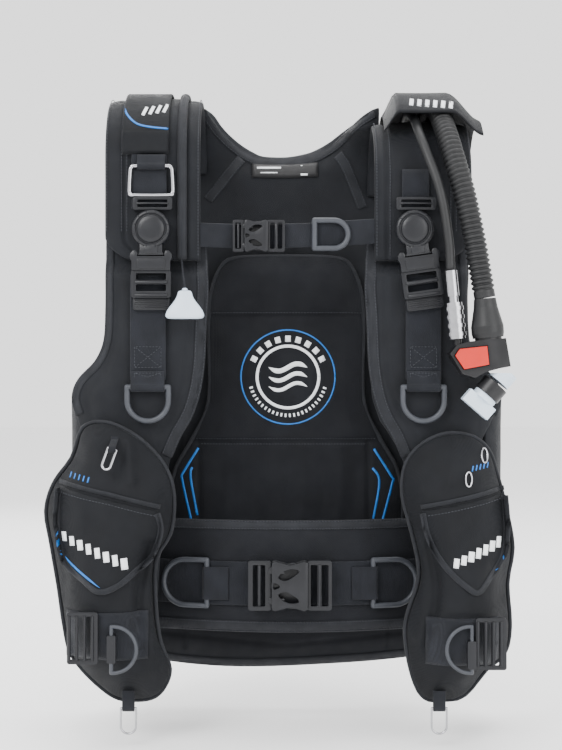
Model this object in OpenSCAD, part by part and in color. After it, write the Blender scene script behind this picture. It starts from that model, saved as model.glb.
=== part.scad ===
// Scuba buoyancy compensator: a jacket of soft panels around the diver, a
// backplate and band for one tank, an inflator on two hoses, and the buckles,
// rings and webbing that close and adjust it. Millimetres, +Z up, front at -Y.
// The origin is the centre of the tank band.

/* [Jacket] */
// Height of the left shoulder arch's centre above the tank band
arch_z_left = 262; // [255:1:270]
// Height of the right shoulder arch's centre, pressed down by the hoses
arch_z_right = 236; // [230:1:240]
// Outer radius of the padded shoulder arch
arch_r = 75; // [74:0.5:76]
// Thickness of the shoulder strap padding
strap_t = 14; // [10:1:16]
// Thickness of the back panel's air cell
back_t = 30; // [20:1:30]
// Thickness of the front wings
wing_t = 19; // [12:1:19]
// Thickness of the pockets in front of the wings
pocket_t = 42; // [30:1:42]

/* [Harness] */
// Width of the shoulder webbing
shoulder_web_w = 38; // [30:1:40]
// Width of the waist webbing
waist_web_w = 48; // [40:1:50]
// Width of the chest webbing
sternum_web_w = 26; // [20:1:28]
// Thickness of every webbing
web_t = 2; // [1:0.5:2]
// Wire radius of the plastic D-rings
ring_r = 3; // [2.5:0.1:3]
// Radial clearance of a ring in its loop
run_gap = 0.08; // [0.02:0.01:0.1]

/* [Tank] */
// Radius of the tank that the band holds
tank_r = 92; // [85:1:92]
// Thickness of the tank band
band_t = 3; // [2:0.5:3]
// Height of the tank band
band_h = 50; // [40:1:50]

/* [Inflator] */
// Outer radius of the corrugated hose
hose_r = 12; // [10:0.5:12]
// Outer radius of the low pressure hose
lp_r = 5; // [4:0.5:5]

/* [Hidden] */
$fn = 48;

gap = 0.3;              // between soft solids that do not share a seam
big = 1000;             // reaches past the whole vest in a cut

// Planes and lines that several parts share
front_y = -269.5;       // front face of the straps and wings
back_y = -119.5;        // outer face of the arch's back end
arch_y = (front_y + back_y) / 2;
panel_back_y = -104;    // rear face of the back panel
panel_front_y = panel_back_y - back_t;
pocket_y = front_y - gap - pocket_t;
web_y = front_y - 2.5;  // rear face of the chest webbing
strap_end_z = 150;      // lower end of the shoulder straps
wing_low_z = -300;      // lower end of the wings, behind the pockets
belt_cx = 4;            // the belt's centre line
belt_cy = 97;           // centre of the belt's curve round the body
belt_r = 335;           // outer radius of the cummerbund
belt_z = -201;          // centre height of the waist belt
sternum_z = 178;        // centre height of the chest strap

fabric = [0.19, 0.20, 0.23];
webbing = [0.15, 0.16, 0.18];
plastic = [0.30, 0.31, 0.34];
chrome = [0.80, 0.80, 0.82];
pale = [0.80, 0.85, 0.89];
red = [0.94, 0.33, 0.24];

// One point of a smooth curve through p1 and p2, at t from 0 to 1
function curve(p0, p1, p2, p3, t) = 0.5 * ((2 * p1) + (p2 - p0) * t
  + (2 * p0 - 5 * p1 + 4 * p2 - p3) * t * t
  + (3 * p1 - p0 - 3 * p2 + p3) * t * t * t);

// A closed outline through the given points, n steps between each pair
function loop(p, n = 3) = let (m = len(p))
  [for (i = [0 : m - 1], j = [0 : n - 1])
    curve(p[(i + m - 1) % m], p[i], p[(i + 1) % m], p[(i + 2) % m], j / n)];

// An open route through the given points, n steps between each pair
function route(p, n = 2) = let (m = len(p) - 1)
  concat([for (i = [0 : m - 1], j = [0 : n - 1])
    curve(p[max(i - 1, 0)], p[i], p[i + 1], p[min(i + 2, m)], j / n)], [p[m]]);

function unit(v) = v / norm(v);

// A tube of radius r along a route, as one closed polyhedron
module tube(p, r, sides = 10) {
  m = len(p);
  dirs = [for (i = [0 : m - 1]) unit(p[min(i + 1, m - 1)] - p[max(i - 1, 0)])];
  rings = [for (i = [0 : m - 1])
    let (u = unit(cross(dirs[i], [1, 0.02, 0])), v = cross(dirs[i], u))
    for (k = [0 : sides - 1])
      p[i] + r * (cos(360 * k / sides) * u + sin(360 * k / sides) * v)];
  walls = [for (i = [0 : m - 2], k = [0 : sides - 1])
    let (a = i * sides + k, b = i * sides + (k + 1) % sides)
    [a, a + sides, b + sides, b]];
  ends = [[for (k = [0 : sides - 1]) k],
    [for (k = [sides - 1 : -1 : 0]) (m - 1) * sides + k]];
  polyhedron(rings, concat(walls, ends), convexity = 10);
}

// An outline in X and Z, made solid from y0 (front) to y1
module slab(points, y0, y1) {
  translate([0, y1, 0]) rotate([90, 0, 0]) linear_extrude(y1 - y0) polygon(points);
}

// A block between two corners
module block(a, b) {
  translate(a) cube(b - a);
}

// A cylinder along X, Y or Z, centred on p
module rod(p, axis, r, h) {
  turn = axis == "x" ? [0, 90, 0] : axis == "y" ? [90, 0, 0] : [0, 0, 0];
  translate(p) rotate(turn) cylinder(r = r, h = h, center = true);
}

// A band over the shoulder, from angle a0 to a1: 90 is back, 180 top, 270 front
module arch(x0, x1, z, r0, r1, a0, a1) {
  translate([0, arch_y, z]) rotate([0, 90, 0]) rotate([0, 0, a0])
    rotate_extrude(angle = a1 - a0, $fn = 96) translate([r0, x0])
      square([r1 - r0, x1 - x0]);
}

// A band round the body's front between x0 and x1
module belt_band(r0, r1, x0, x1, z0, z1) {
  intersection() {
    translate([belt_cx, belt_cy, z0]) difference() {
      cylinder(r = r1, h = z1 - z0, $fn = 180);
      translate([0, 0, -1]) cylinder(r = r0, h = z1 - z0 + 2, $fn = 180);
    }
    block([x0, -big, z0 - 1], [x1, 0, z1 + 1]);
  }
}

// A D-ring in X and Z: its bar is centred on the origin and its bow hangs down
module d_ring(w, h, r) {
  rod([0, 0, 0], "x", r, w);
  for (s = [-1, 1]) {
    translate([s * w / 2, 0, 0]) sphere(r);
    rod([s * w / 2, 0, (w / 2 - h) / 2], "z", r, h - w / 2);
  }
  translate([0, 0, w / 2 - h]) rotate([-90, 0, 0]) rotate_extrude(angle = 180)
    translate([w / 2, 0]) circle(r);
}

// A fold of webbing round a ring's bar, centred on the bar, w wide along X
module fold(w, r) {
  difference() {
    union() {
      rod([0, 0, 0], "x", r + web_t, w);
      block([-w / 2, 0, 0], [w / 2, r + web_t, r + 10]);
    }
    rod([0, 0, 0], "x", r + run_gap, w + 2);
  }
}

// A frame of bars for webbing: w across, l along Z from 0 down, t thick
module ladder(w, l, t, bars) {
  bar = 5;
  step = (l - bar) / (bars - 1);
  for (i = [0 : bars - 1]) block([-w / 2, -t, -bar - i * step], [w / 2, 0, -i * step]);
  for (s = [0, 1]) block([s * (w - 4) - w / 2, -t, -l], [s * (w - 4) - w / 2 + 4, 0, 0]);
}

// ---- Soft panels ----

module back_panel() color(fabric) {
  outline = [[-190, -294], [-139, -311], [-54, -318], [60, -314], [146, -306],
    [190, -294], [190, 20], [173, 60], [166, 110], [172, 170], [190, 215],
    [196, arch_z_right - gap], [95, arch_z_right - gap], [95, 322], [84, 320],
    [66, 306], [49, 294], [25, 285], [0, 282], [-30, 283], [-60, 297],
    [-78, 315], [-92, 322], [-92, arch_z_left - gap], [-195, arch_z_left - gap],
    [-190, 225], [-172, 180], [-166, 110], [-173, 60], [-190, 20]];
  slab(outline, panel_front_y, panel_back_y);
}

// Plan outline of a side panel, for the right side
side_plan = [[190.2, -104], [214, -112], [234, -145], [241, -190], [238, -225],
  [229, -250], [208, -250], [219, -225], [224, -190], [216.3, -150],
  [204, -130], [190.2, -134]];

module side_panel_right() color(fabric) {
  translate([0, 0, -292]) linear_extrude(292 + 22) polygon(side_plan);
}

module side_panel_left() color(fabric) {
  mirror([1, 0, 0]) side_panel_right();
}

module front_wing_left() color(fabric) {
  outline = concat([[-194, strap_end_z - gap], [-194, 100], [-196, 66], [-206, 40],
    [-226, 22], [-234, 4], [-231, -16], [-222, -40], [-232, -80], [-243, -130],
    [-236, -200], [-224, -260], [-190, wing_low_z], [-150, wing_low_z],
    [-134, -270], [-137, -215], [-132, -165], [-124, -120], [-124, -70],
    [-113, -40], [-101, -19], [-93, 6], [-88, 40], [-86, 84], [-84, 118],
    [-92, strap_end_z - gap]]);
  slab(outline, front_y, front_y + wing_t);
}

module front_wing_right() color(fabric) {
  outline = [[199, strap_end_z - gap], [198, 100], [200, 60], [208, 36], [226, 16],
    [231, 0], [226, -20], [212, -46], [222, -80], [234, -130], [229, -200],
    [222, -255], [186, wing_low_z], [150, wing_low_z], [136, -262], [138, -190],
    [132, -140], [124, -70], [113, -46], [96, -20], [88, 6], [86, 56], [84, 99],
    [90, strap_end_z - gap]];
  slab(outline, front_y, front_y + wing_t);
}

sleeve_x = -112;        // the pull cord's sleeve on the left strap
sleeve_y = front_y - 3.5;
sleeve_r = 4;
cord_r = 1;

module shoulder_strap(x0, x1, z) {
  arch(x0, x1, z, arch_r - strap_t, arch_r, 90, 270);
  block([x0, front_y, strap_end_z], [x1, front_y + strap_t, z]);
}

module shoulder_strap_left() color(fabric) difference() {
  union() {
    shoulder_strap(-195, -93, arch_z_left);
    rod([sleeve_x, sleeve_y, (strap_end_z + arch_z_left) / 2], "z", sleeve_r,
      arch_z_left - strap_end_z);
    arch(sleeve_x - sleeve_r, sleeve_x + sleeve_r, arch_z_left, arch_r - 1,
      arch_r + sleeve_r, 110, 270);
  }
  translate([sleeve_x, sleeve_y, strap_end_z - 1]) cylinder(r = cord_r + 0.6, h = 50);
}

module shoulder_strap_right() color(fabric) {
  shoulder_strap(95, 199, arch_z_right);
}

module back_pad() color(fabric) {
  half = [[20, 168], [60, 166], [78, 155], [89, 125], [93, 83], [93, -2],
    [111, -48], [130, -80], [138, -116], [136, -150], [130, -200]];
  other = [for (i = [len(half) - 1 : -1 : 0]) [-half[i].x, half[i].y]];
  slab(concat(half, other), -160, panel_front_y - gap);
}

module cummerbund() color(fabric) {
  belt_band(belt_r - 8, belt_r, -212, 216, -258, -131);
}

pocket_left_outline = loop([[-218, -28], [-196, -22], [-172, -30], [-148, -46],
  [-128, -70], [-119, -100], [-122, -140], [-138, -170], [-138, -222],
  [-133, -258], [-123, -288], [-137, -316], [-165, -321], [-190, -314],
  [-228, -277], [-238, -245], [-245, -200], [-254, -150], [-259, -118],
  [-250, -88], [-230, -60]]);

pocket_right_outline = loop([[200, -38], [172, -34], [145, -44], [126, -66],
  [122, -100], [132, -140], [140, -185], [128, -225], [125, -250], [132, -290],
  [145, -318], [167, -321], [190, -316], [214, -288], [234, -270], [240, -240],
  [237, -195], [243, -158], [236, -118], [224, -74], [216, -52]]);

module pocket_left() color(fabric) {
  slab(pocket_left_outline, pocket_y, front_y - gap);
}

module pocket_right() color(fabric) {
  slab(pocket_right_outline, pocket_y, front_y - gap);
}

// The flaps lie on the pockets and hinge along their slanted top seams
flap_t = 4;
flap_y = pocket_y - gap - flap_t;
seam_left = [[-243, -88], [-133, -116]];
seam_right = [[140, -116], [232, -96]];

module pocket_flap_left() color(fabric) {
  slab(concat(seam_left, [[-128, -136], [-138, -165], [-155, -180], [-175, -196],
    [-196, -203], [-214, -190], [-240, -166], [-246, -128]]), flap_y, flap_y + flap_t);
}

module pocket_flap_right() color(fabric) {
  slab(concat(seam_right, [[236, -128], [233, -160], [216, -186], [201, -204],
    [187, -198], [168, -182], [152, -160], [143, -138]]), flap_y, flap_y + flap_t);
}

// The flap over the hoses lies on the right shoulder, above both hoses
flap_r = arch_r + 27.5;

module hose_flap() color(fabric) {
  arch(108, 205, arch_z_right, flap_r, flap_r + 3.5, 133, 226);
}

// ---- Webbing ----

chest_x_left = -147;    // centre lines of the shoulder webbing
chest_x_right = 138;
d_ring_z = 14;          // height of the chest D-rings' bars
ring_y = web_y - web_t - ring_r - run_gap;

module flat_web(x, w, z0, z1) {
  block([x - w / 2, web_y - web_t, z0], [x + w / 2, web_y, z1]);
}

shoulder_ring_r = 2;
shoulder_ring_z = 250;

module upper_webbing_left() color(webbing) {
  flat_web(chest_x_left, shoulder_web_w, 204, 285);
  translate([-144.5, web_y - web_t - shoulder_ring_r, shoulder_ring_z])
    fold(30, shoulder_ring_r);
}

module upper_webbing_right() color(webbing) {
  flat_web(chest_x_right, 29, 204, 270);
}

module lower_webbing(x) {
  flat_web(x, shoulder_web_w, d_ring_z + 6, 136);
  translate([x, ring_y + run_gap, d_ring_z]) fold(36, ring_r);
}

lower_x_left = -148;
lower_x_right = 146;

module lower_webbing_left() color(webbing) lower_webbing(lower_x_left);
module lower_webbing_right() color(webbing) lower_webbing(lower_x_right);

module sternum_webbing() color(webbing) {
  z0 = sternum_z - sternum_web_w / 2;
  z1 = sternum_z + sternum_web_w / 2;
  block([-92.7, -263, z0], [-45, -261, z1]);
  block([-19, -263, z0], [94.7, -261, z1]);
  translate([sternum_ring_x, -263 - ring_r, sternum_z]) rotate([0, -90, 0])
    fold(20, ring_r);
}

// The spot on the belt's curve at an angle from straight ahead, + towards +X
module on_belt(a, out) {
  translate([belt_cx, belt_cy, belt_z]) rotate([0, 0, a])
    translate([0, -belt_r - 2 - web_t - out, 0]) children();
}

waist_ring_a = 15.5;

module waist_webbing() color(webbing) {
  z0 = belt_z - waist_web_w / 2;
  z1 = belt_z + waist_web_w / 2;
  belt_band(belt_r + 2, belt_r + 2 + web_t, -190, -18, z0, z1);
  belt_band(belt_r + 2, belt_r + 2 + web_t, 26, 190, z0, z1);
  for (s = [-1, 1]) on_belt(s * waist_ring_a, ring_r) rotate([0, -s * 90, 0])
    fold(36, ring_r);
}

// ---- Buckles ----

buckle_y = web_y - web_t - 0.5;   // rear face of the chest buckles

// Round-headed socket: head at the origin, neck down to z = -28
module swivel_socket() {
  rod([0, -6.5, 0], "y", 20.5, 13);
  block([-12, -11, -28], [12, -2, -10]);
  difference() {
    rod([0, -14.2, 0], "y", 16.5, 2.4);
    rod([0, -15, 0], "y", 14.8, 3);
  }
}

// The half that unclips: two prongs, a body, a ladder of bars and a tongue
module swivel_plug() {
  for (s = [-1, 1]) {
    block([s * 17.2 - 3.2, -10, -31], [s * 17.2 + 3.2, -3, -22.6]);
  }
  block([-20.5, -12, -44], [20.5, -1, -28.3]);
  translate([0, -1, -44]) ladder(42, 29, 9, 3);
  block([-19.5, -7, -86], [19.5, -1, -73]);
}

swivel_left = [-144, 0, 182];
swivel_right = [136, 0, 182];
tilt_right = -8;

module place_swivel(p, a) {
  translate([p.x, buckle_y, p.z]) rotate([0, a, 0]) children();
}

module swivel_socket_left() color(plastic) place_swivel(swivel_left, 0) swivel_socket();
module swivel_socket_right() color(plastic)
  place_swivel(swivel_right, tilt_right) swivel_socket();
module swivel_plug_left() color(plastic) place_swivel(swivel_left, 0) swivel_plug();
module swivel_plug_right() color(plastic)
  place_swivel(swivel_right, tilt_right) swivel_plug();

// Side-release buckle along X, its mouth at the origin facing -X. The plug's
// ladder is l0 long, the body lb, the socket's ladder l1; w across, t thick
module release_plug(w, t, l0, lb) {
  arm = w / 8;
  translate([-0.4, 0, 0]) rotate([0, 90, 0]) translate([0, 0, 0])
    ladder(w, l0, t * 0.7, 2);
  for (s = [-1, 1]) block([-0.4, -t * 0.75, s * (w / 2 - arm - 3) - arm / 2],
    [lb * 0.72, -t * 0.3, s * (w / 2 - arm - 3) + arm / 2]);
  block([-0.4, -t * 0.65, -w / 16], [lb * 0.6, -t * 0.4, w / 16]);
}

module release_socket(w, t, l1, lb) {
  arm = w / 8;
  difference() {
    block([0, -t, -w / 2], [lb, 0, w / 2]);
    block([-1, -t * 0.8, -w / 2 + 2.5], [lb * 0.8, -t * 0.25, w / 2 - 2.5]);
    for (s = [-1, 1]) block([lb * 0.3, -t * 0.8, s * w / 2 - 4], [lb * 0.8, -t * 0.25,
      s * w / 2 + 4]);
    for (s = [-1, 1]) translate([lb * 0.5, -t * 0.8, s * w * 0.42]) rotate([90, 0, 0])
      cylinder(r = w * 0.2, h = t);
  }
  translate([lb + l1 - 0.01, 0, 0]) rotate([0, 90, 0]) ladder(w, l1, t * 0.7, 3);
}

sternum_mouth = [-45, -264, sternum_z - 2];
waist_mouth = [-16, -243.8, belt_z];

module sternum_socket() color(plastic) translate(sternum_mouth)
  release_socket(34, 11, 18, 25);
module sternum_plug() color(plastic) translate(sternum_mouth)
  release_plug(34, 11, 12, 25);
module waist_socket() color(plastic) translate(waist_mouth)
  release_socket(54, 16, 26, 39);
module waist_plug() color(plastic) translate(waist_mouth)
  release_plug(54, 16, 25, 39);

// ---- Rings and small hardware ----

module shoulder_d_ring() color(chrome) {
  r = shoulder_ring_r;
  translate([-144.5, web_y - web_t - r, shoulder_ring_z]) {
    for (z = [0, -31]) rod([0, 0, z], "x", r, 46);
    for (x = [-23, 23], z = [0, -31]) translate([x, 0, z]) sphere(r);
    for (x = [-23, 23]) rod([x, 0, -15.5], "z", r, 31);
  }
}

module chest_d_ring(x) {
  translate([x, ring_y + run_gap, d_ring_z]) d_ring(44, 36, ring_r);
}

module chest_d_ring_left() color(plastic) chest_d_ring(lower_x_left);
module chest_d_ring_right() color(plastic) chest_d_ring(lower_x_right);

module waist_d_ring_right() color(plastic) on_belt(waist_ring_a, ring_r)
  rotate([0, -90, 0]) d_ring(50, 50, ring_r);
module waist_d_ring_left() color(plastic) on_belt(-waist_ring_a, ring_r)
  rotate([0, 90, 0]) d_ring(50, 50, ring_r);

sternum_ring_x = 30;

module sternum_d_ring() color(plastic)
  translate([sternum_ring_x, -263 - ring_r, sternum_z]) rotate([0, -90, 0])
    d_ring(30, 36, ring_r);

slide_z = 209.8;        // centre height of the flat webbing loops

module webbing_slides() color(plastic) {
  for (x = [-143, 138]) translate([x, web_y - web_t, slide_z]) difference() {
    block([-21, -4.5, -6.8], [21, -0.5, 6.8]);
    block([-16, -5, 0.8], [16, 0, 4]);
    block([-16, -5, -4], [16, 0, -0.8]);
  }
}

pocket_ring_p = [-181, flap_y - 0.5, -50];

module pocket_ring() color(chrome) translate(pocket_ring_p)
  translate([0, -1.5, 0]) rotate([0, 20, 0]) d_ring(9, 22, 1.3);

// Wire ring that hangs under a pocket
module hem_ring() {
  d_ring(16, 27, 1.1);
}

hem_ring_y = -292;

module hem_ring_left() color(chrome) translate([-167, hem_ring_y, -324.5]) hem_ring();
module hem_ring_right() color(chrome) translate([161, hem_ring_y, -324.5]) hem_ring();

// Ladders of the weight pouch straps, low on the pockets
pouch_z = -246;
pull_x_left = -182;     // bars of the pull loops
pull_x_right = 192;
pull_y = pocket_y - 6.5;

module pouch_buckles() color(plastic) {
  for (c = [[-212, pouch_z], [212, pouch_z - 6]]) {
    translate([c.x + 16, pocket_y - 0.5, c.y]) rotate([0, 90, 0]) ladder(54, 32, 8, 4);
  }
  for (x = [pull_x_left, pull_x_right]) translate([x, pull_y, pouch_z - 12])
    difference() {
      union() {
        rod([0, 0, 0], "z", 4.2, 30);
        block([-4.2, 0, -15], [4.2, pocket_y - pull_y - 0.1, 15]);
      }
      rod([0, 0, 0], "z", 2 + run_gap, 32);
    }
}

module pull_loop(x, turn) {
  translate([x, pull_y, pouch_z - 12]) rotate([0, turn, 0]) d_ring(48, 26, 2);
}

module pull_loop_left() color(plastic) pull_loop(pull_x_left, -90);
module pull_loop_right() color(plastic) pull_loop(pull_x_right, 90);

// ---- Tank side ----

module backplate() color(plastic) difference() {
  slab(loop([[-60, 205], [0, 208], [60, 205], [100, 180], [108, 100], [104, 0],
    [104, -100], [90, -185], [40, -200], [-40, -200], [-90, -185], [-104, -100],
    [-104, 0], [-108, 100], [-100, 180]]), panel_back_y + gap, -tank_r - band_t - gap);
  slab([[-48, 160], [48, 160], [48, 186], [-48, 186]], -110, -90);
  for (s = [-1, 1], z = [-120, 90]) slab([[s * 75 - 14, z - 18],
    [s * 75 + 14, z - 18], [s * 75 + 14, z + 18], [s * 75 - 14, z + 18]], -110, -90);
}

module tank_band() color(webbing) difference() {
  cylinder(r = tank_r + band_t, h = band_h, center = true, $fn = 180);
  cylinder(r = tank_r, h = band_h + 2, center = true, $fn = 180);
}

cam_y = tank_r + band_t + 0.2;
lever_p = [30, cam_y + 9, 0];

module cam_base() color(plastic) {
  difference() {
    union() {
      block([-34, cam_y - 4, -29], [38, cam_y + 3, 29]);
      for (s = [-1, 1]) {
        rod([lever_p.x, lever_p.y, s * 26.5], "z", 7, 5);
        block([23, cam_y, s * 26.5 - 2.5], [37, lever_p.y, s * 26.5 + 2.5]);
      }
    }
    cylinder(r = cam_y, h = 80, center = true, $fn = 180);
    rod(lever_p, "z", 3 + run_gap, 70);
  }
}

module cam_lever() color(plastic) {
  rod(lever_p, "z", 3, 58);
  rod(lever_p, "z", 5.2, 47);
  block([-30, lever_p.y - 3.5, -23.5], [lever_p.x, lever_p.y + 2.5, 23.5]);
}

dump_p = [[-150, 200], [150, -240]];

module dump_valves() color(plastic) {
  for (p = dump_p) {
    rod([p.x, panel_back_y + 3.1, p.y], "y", 27, 6);
    rod([p.x, panel_back_y + 9.1, p.y], "y", 22, 6);
    rod([p.x, panel_back_y + 14, p.y], "y", 17, 4);
  }
}

knob_x = sleeve_x + 4.5;
knob_y = sleeve_y - 19;  // the knob hangs in front of the buckle's tongue
knob_top_z = 116;
knob_h = 30;

module dump_cord() color(webbing)
  tube([[sleeve_x, sleeve_y, 190], [sleeve_x, sleeve_y, 178], [sleeve_x, sleeve_y, 166],
    [sleeve_x, sleeve_y, 156], [sleeve_x, sleeve_y, 148], [sleeve_x + 1, sleeve_y - 3, 141],
    [knob_x - 2.5, sleeve_y - 9, 133], [knob_x - 1, knob_y + 3, 126],
    [knob_x, knob_y, 120], [knob_x, knob_y, knob_top_z]], cord_r, 8);

// Bell-shaped pull: a flat-bottomed body that narrows to its cord
module dump_knob() color(pale) translate([knob_x, knob_y, knob_top_z - knob_h])
  intersection() {
    rotate_extrude() polygon([[0, 0], [20, 0], [20.5, 3], [18, 9], [12.5, 17], [9, 24],
      [7, 28], [6, knob_h], [0, knob_h]]);
    block([-25, -6.5, -1], [25, 6.5, knob_h + 1]);
  }

module rear_dump_knob() color(pale) translate([dump_p[1].x, panel_back_y + 12, 0]) {
  rod([0, 0, dump_p[1].y - 32], "z", 1.2, 15.6);
  translate([0, 0, dump_p[1].y - 47]) sphere(8);
}

// ---- Inflator and hoses ----

elbow_x = 160;
elbow_y = -90;
elbow_z = 205;
hose_end_z = 236;

module hose_elbow() color(plastic) {
  rod([elbow_x, panel_back_y + 2.6, elbow_z], "y", 20, 5);
  rod([elbow_x, (panel_back_y + elbow_y) / 2 + 2.5, elbow_z], "y", 11, elbow_y - panel_back_y - 5);
  translate([elbow_x, elbow_y, elbow_z]) sphere(11);
  rod([elbow_x, elbow_y, (elbow_z + hose_end_z) / 2], "z", 11, hose_end_z - elbow_z);
}

// From the elbow over the shoulder and down to the cuff
hose_route = [[160, -90, 236], [160, -90, 241], [160, -90, 247], [160, -97, 265],
  [160, -114, 284],
  [161, -137, 304], [162, -164, 320], [163, -195, 325], [165, -226, 319], [168, -254, 302],
  [173, -275, 277], [179, -288, 250], [186, -296, 222], [192, -300, 194],
  [198, -300, 165], [203, -300, 136], [208, -300, 108]];

module corrugated_hose() color(webbing) tube(route(hose_route, 2), hose_r, 12);

// The rubber cuff widens from the hose to the inflator
module place_cuff() {
  translate([211.5, -300, 66.2]) rotate([0, -5, 0]) children();
}

module hose_cuff() color(webbing) place_cuff() rotate_extrude() polygon([[0, 0], [16, 0], [17, 5], [17, 12], [12.5, 32], [11.5, 41],
    [0, 41]]);

body_outline = [[170, 49], [177, 58], [191, 62], [228, 65.5], [233, 36], [222, 34],
  [207, 30], [196, 24], [183, 28]];
button_outline = [[174, 47], [179, 55], [209, 58], [211, 37], [184, 32]];
body_y0 = -314;
body_y1 = -286;
oral_c = [218, -300, 16];   // centre of the oral tube
oral_a = 49;                // its slope

module place_oral() {
  translate(oral_c) rotate([0, 180 + 90 - oral_a, 0]) children();
}

module inflator_body() color(webbing) {
  difference() {
    slab(body_outline, body_y0, body_y1);
    slab(loop(button_outline, 1), body_y0 - 1, body_y0 + 5);
  }
  difference() {
    place_oral() translate([0, 0, -2]) cylinder(r = 14.5, h = 15);
    slab(body_outline, body_y0 - 1, body_y1 + 1);
  }
  // The neck under the cuff, and the nipple that the low pressure hose clips on
  place_cuff() mirror([0, 0, 1]) cylinder(r = 14, h = 6);
  place_coupler() cylinder(r = 4, h = 15);
}

module inflate_button() color(red) {
  slab([[175, 47], [179.6, 54], [208, 57], [210, 37.8], [184.4, 33]], body_y0 - 3.4,
    body_y0 + 1.4);
}

module deflate_button() color(pale) difference() {
  place_oral() translate([0, 0, -20]) cylinder(r = 13, h = 14.6);
  slab(body_outline, body_y0 - 5, body_y1 + 5);
  block([150, -320, 29], [250, -280, 70]);
}

module mouthpiece() color(pale) place_oral() difference() {
  union() {
    translate([0, 0, 13.3]) cylinder(r = 13, h = 6);
    translate([-17, -9, 19]) cube([34, 18, 14]);
  }
  translate([-13, -4.5, 22]) cube([26, 9, 14]);
  translate([0, 0, 12]) cylinder(r = 4, h = 12);
}

// From the quick-connect under the flap, over the shoulder and down the back
lp_route = [[172, -300, 137], [171, -300, 160], [168, -300, 185], [164, -298, 210],
  [158, -294, 234], [150, -287, 258], [143, -275, 281], [139, -256, 300],
  [137, -231, 313], [136, -205, 319], [135, -179, 317], [134, -154, 309],
  [132, -131, 293], [130, -111, 269], [128, -96, 241], [126, -88, 211],
  [125, -85, 180], [124, -84, 148], [124, -84, 116], [124, -84, 84],
  [124, -84, 52], [124, -84, 20], [124, -84, -12]];

module lp_hose() color(webbing) tube(route(lp_route, 2), lp_r, 10);

module place_coupler() {
  translate([180, -300, 57]) rotate([0, -5.6, 0]) children();
}

module lp_ferrule() color(chrome) place_coupler() difference() {
  union() {
    translate([0, 0, 53]) cylinder(r = 6.5, h = 26.9);
    translate([0, 0, 15]) cylinder(r = 5, h = 40);
  }
  translate([0, 0, 14]) cylinder(r = 2, h = 30);
}

module coupler_sleeve() color(chrome) place_coupler() difference() {
  union() {
    translate([0, 0, 8]) cylinder(r = 8.5, h = 38);
    for (i = [0 : 3]) translate([0, 0, 11 + i * 9]) cylinder(r = 9.6, h = 4);
  }
  translate([0, 0, 7]) cylinder(r = 5 + run_gap, h = 42);
}

module lp_fitting() color(chrome) translate([124, -84, -12.2]) mirror([0, 0, 1])
  difference() {
    union() {
      cylinder(r = 6.5, h = 22);
      translate([0, 0, 22]) cylinder(r = 8.5, h = 9, $fn = 6);
      translate([0, 0, 31]) cylinder(r = 5, h = 11);
    }
    translate([0, 0, 28]) cylinder(r = 2, h = 15);
  }

back_panel();
side_panel_left();
side_panel_right();
front_wing_left();
front_wing_right();
shoulder_strap_left();
shoulder_strap_right();
back_pad();
cummerbund();
pocket_left();
pocket_right();
pocket_flap_left();
pocket_flap_right();
hose_flap();
upper_webbing_left();
upper_webbing_right();
lower_webbing_left();
lower_webbing_right();
sternum_webbing();
waist_webbing();
swivel_socket_left();
swivel_socket_right();
swivel_plug_left();
swivel_plug_right();
sternum_socket();
sternum_plug();
waist_socket();
waist_plug();
shoulder_d_ring();
chest_d_ring_left();
chest_d_ring_right();
waist_d_ring_left();
waist_d_ring_right();
sternum_d_ring();
webbing_slides();
pocket_ring();
hem_ring_left();
hem_ring_right();
pouch_buckles();
pull_loop_left();
pull_loop_right();
backplate();
tank_band();
cam_base();
cam_lever();
dump_valves();
dump_cord();
dump_knob();
rear_dump_knob();
hose_elbow();
corrugated_hose();
hose_cuff();
inflator_body();
inflate_button();
deflate_button();
mouthpiece();
lp_hose();
lp_ferrule();
coupler_sleeve();
lp_fitting();
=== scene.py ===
"""Looks of a scuba buoyancy vest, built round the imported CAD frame.

Metres, +Z up, the front of the vest faces -Y. Soft panels are drawn flat in X and Z,
puffed by a cloth simulation, then thinned at their edges and bent into place.
"""
import math

import bmesh
import bpy
import numpy as np
from mathutils import Matrix, Vector, noise
from mathutils.bvhtree import BVHTree


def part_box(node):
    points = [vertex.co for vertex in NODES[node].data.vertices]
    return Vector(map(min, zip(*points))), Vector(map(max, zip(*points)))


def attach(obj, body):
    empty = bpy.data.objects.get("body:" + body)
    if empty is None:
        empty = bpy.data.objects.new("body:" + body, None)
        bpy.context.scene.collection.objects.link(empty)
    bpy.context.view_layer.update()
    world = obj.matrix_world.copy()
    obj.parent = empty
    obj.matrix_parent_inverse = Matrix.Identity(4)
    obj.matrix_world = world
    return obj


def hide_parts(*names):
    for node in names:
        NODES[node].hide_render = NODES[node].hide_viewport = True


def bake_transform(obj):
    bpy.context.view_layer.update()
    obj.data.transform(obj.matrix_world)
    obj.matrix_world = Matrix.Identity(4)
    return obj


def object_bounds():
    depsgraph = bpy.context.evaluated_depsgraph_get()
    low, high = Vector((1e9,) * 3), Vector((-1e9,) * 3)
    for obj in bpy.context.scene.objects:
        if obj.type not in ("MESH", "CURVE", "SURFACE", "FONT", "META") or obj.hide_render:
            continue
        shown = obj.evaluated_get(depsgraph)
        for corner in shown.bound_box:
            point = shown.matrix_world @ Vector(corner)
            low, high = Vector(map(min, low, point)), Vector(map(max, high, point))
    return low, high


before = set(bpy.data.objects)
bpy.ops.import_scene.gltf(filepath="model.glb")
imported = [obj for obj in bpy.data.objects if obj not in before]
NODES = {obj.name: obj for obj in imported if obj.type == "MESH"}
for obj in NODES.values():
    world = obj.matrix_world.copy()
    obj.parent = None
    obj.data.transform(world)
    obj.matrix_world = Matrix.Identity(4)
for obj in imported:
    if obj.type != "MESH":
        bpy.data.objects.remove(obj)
cad_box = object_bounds()
MM = 0.001
PRINT = 0.3 * MM  # thickness of printed marks
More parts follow.
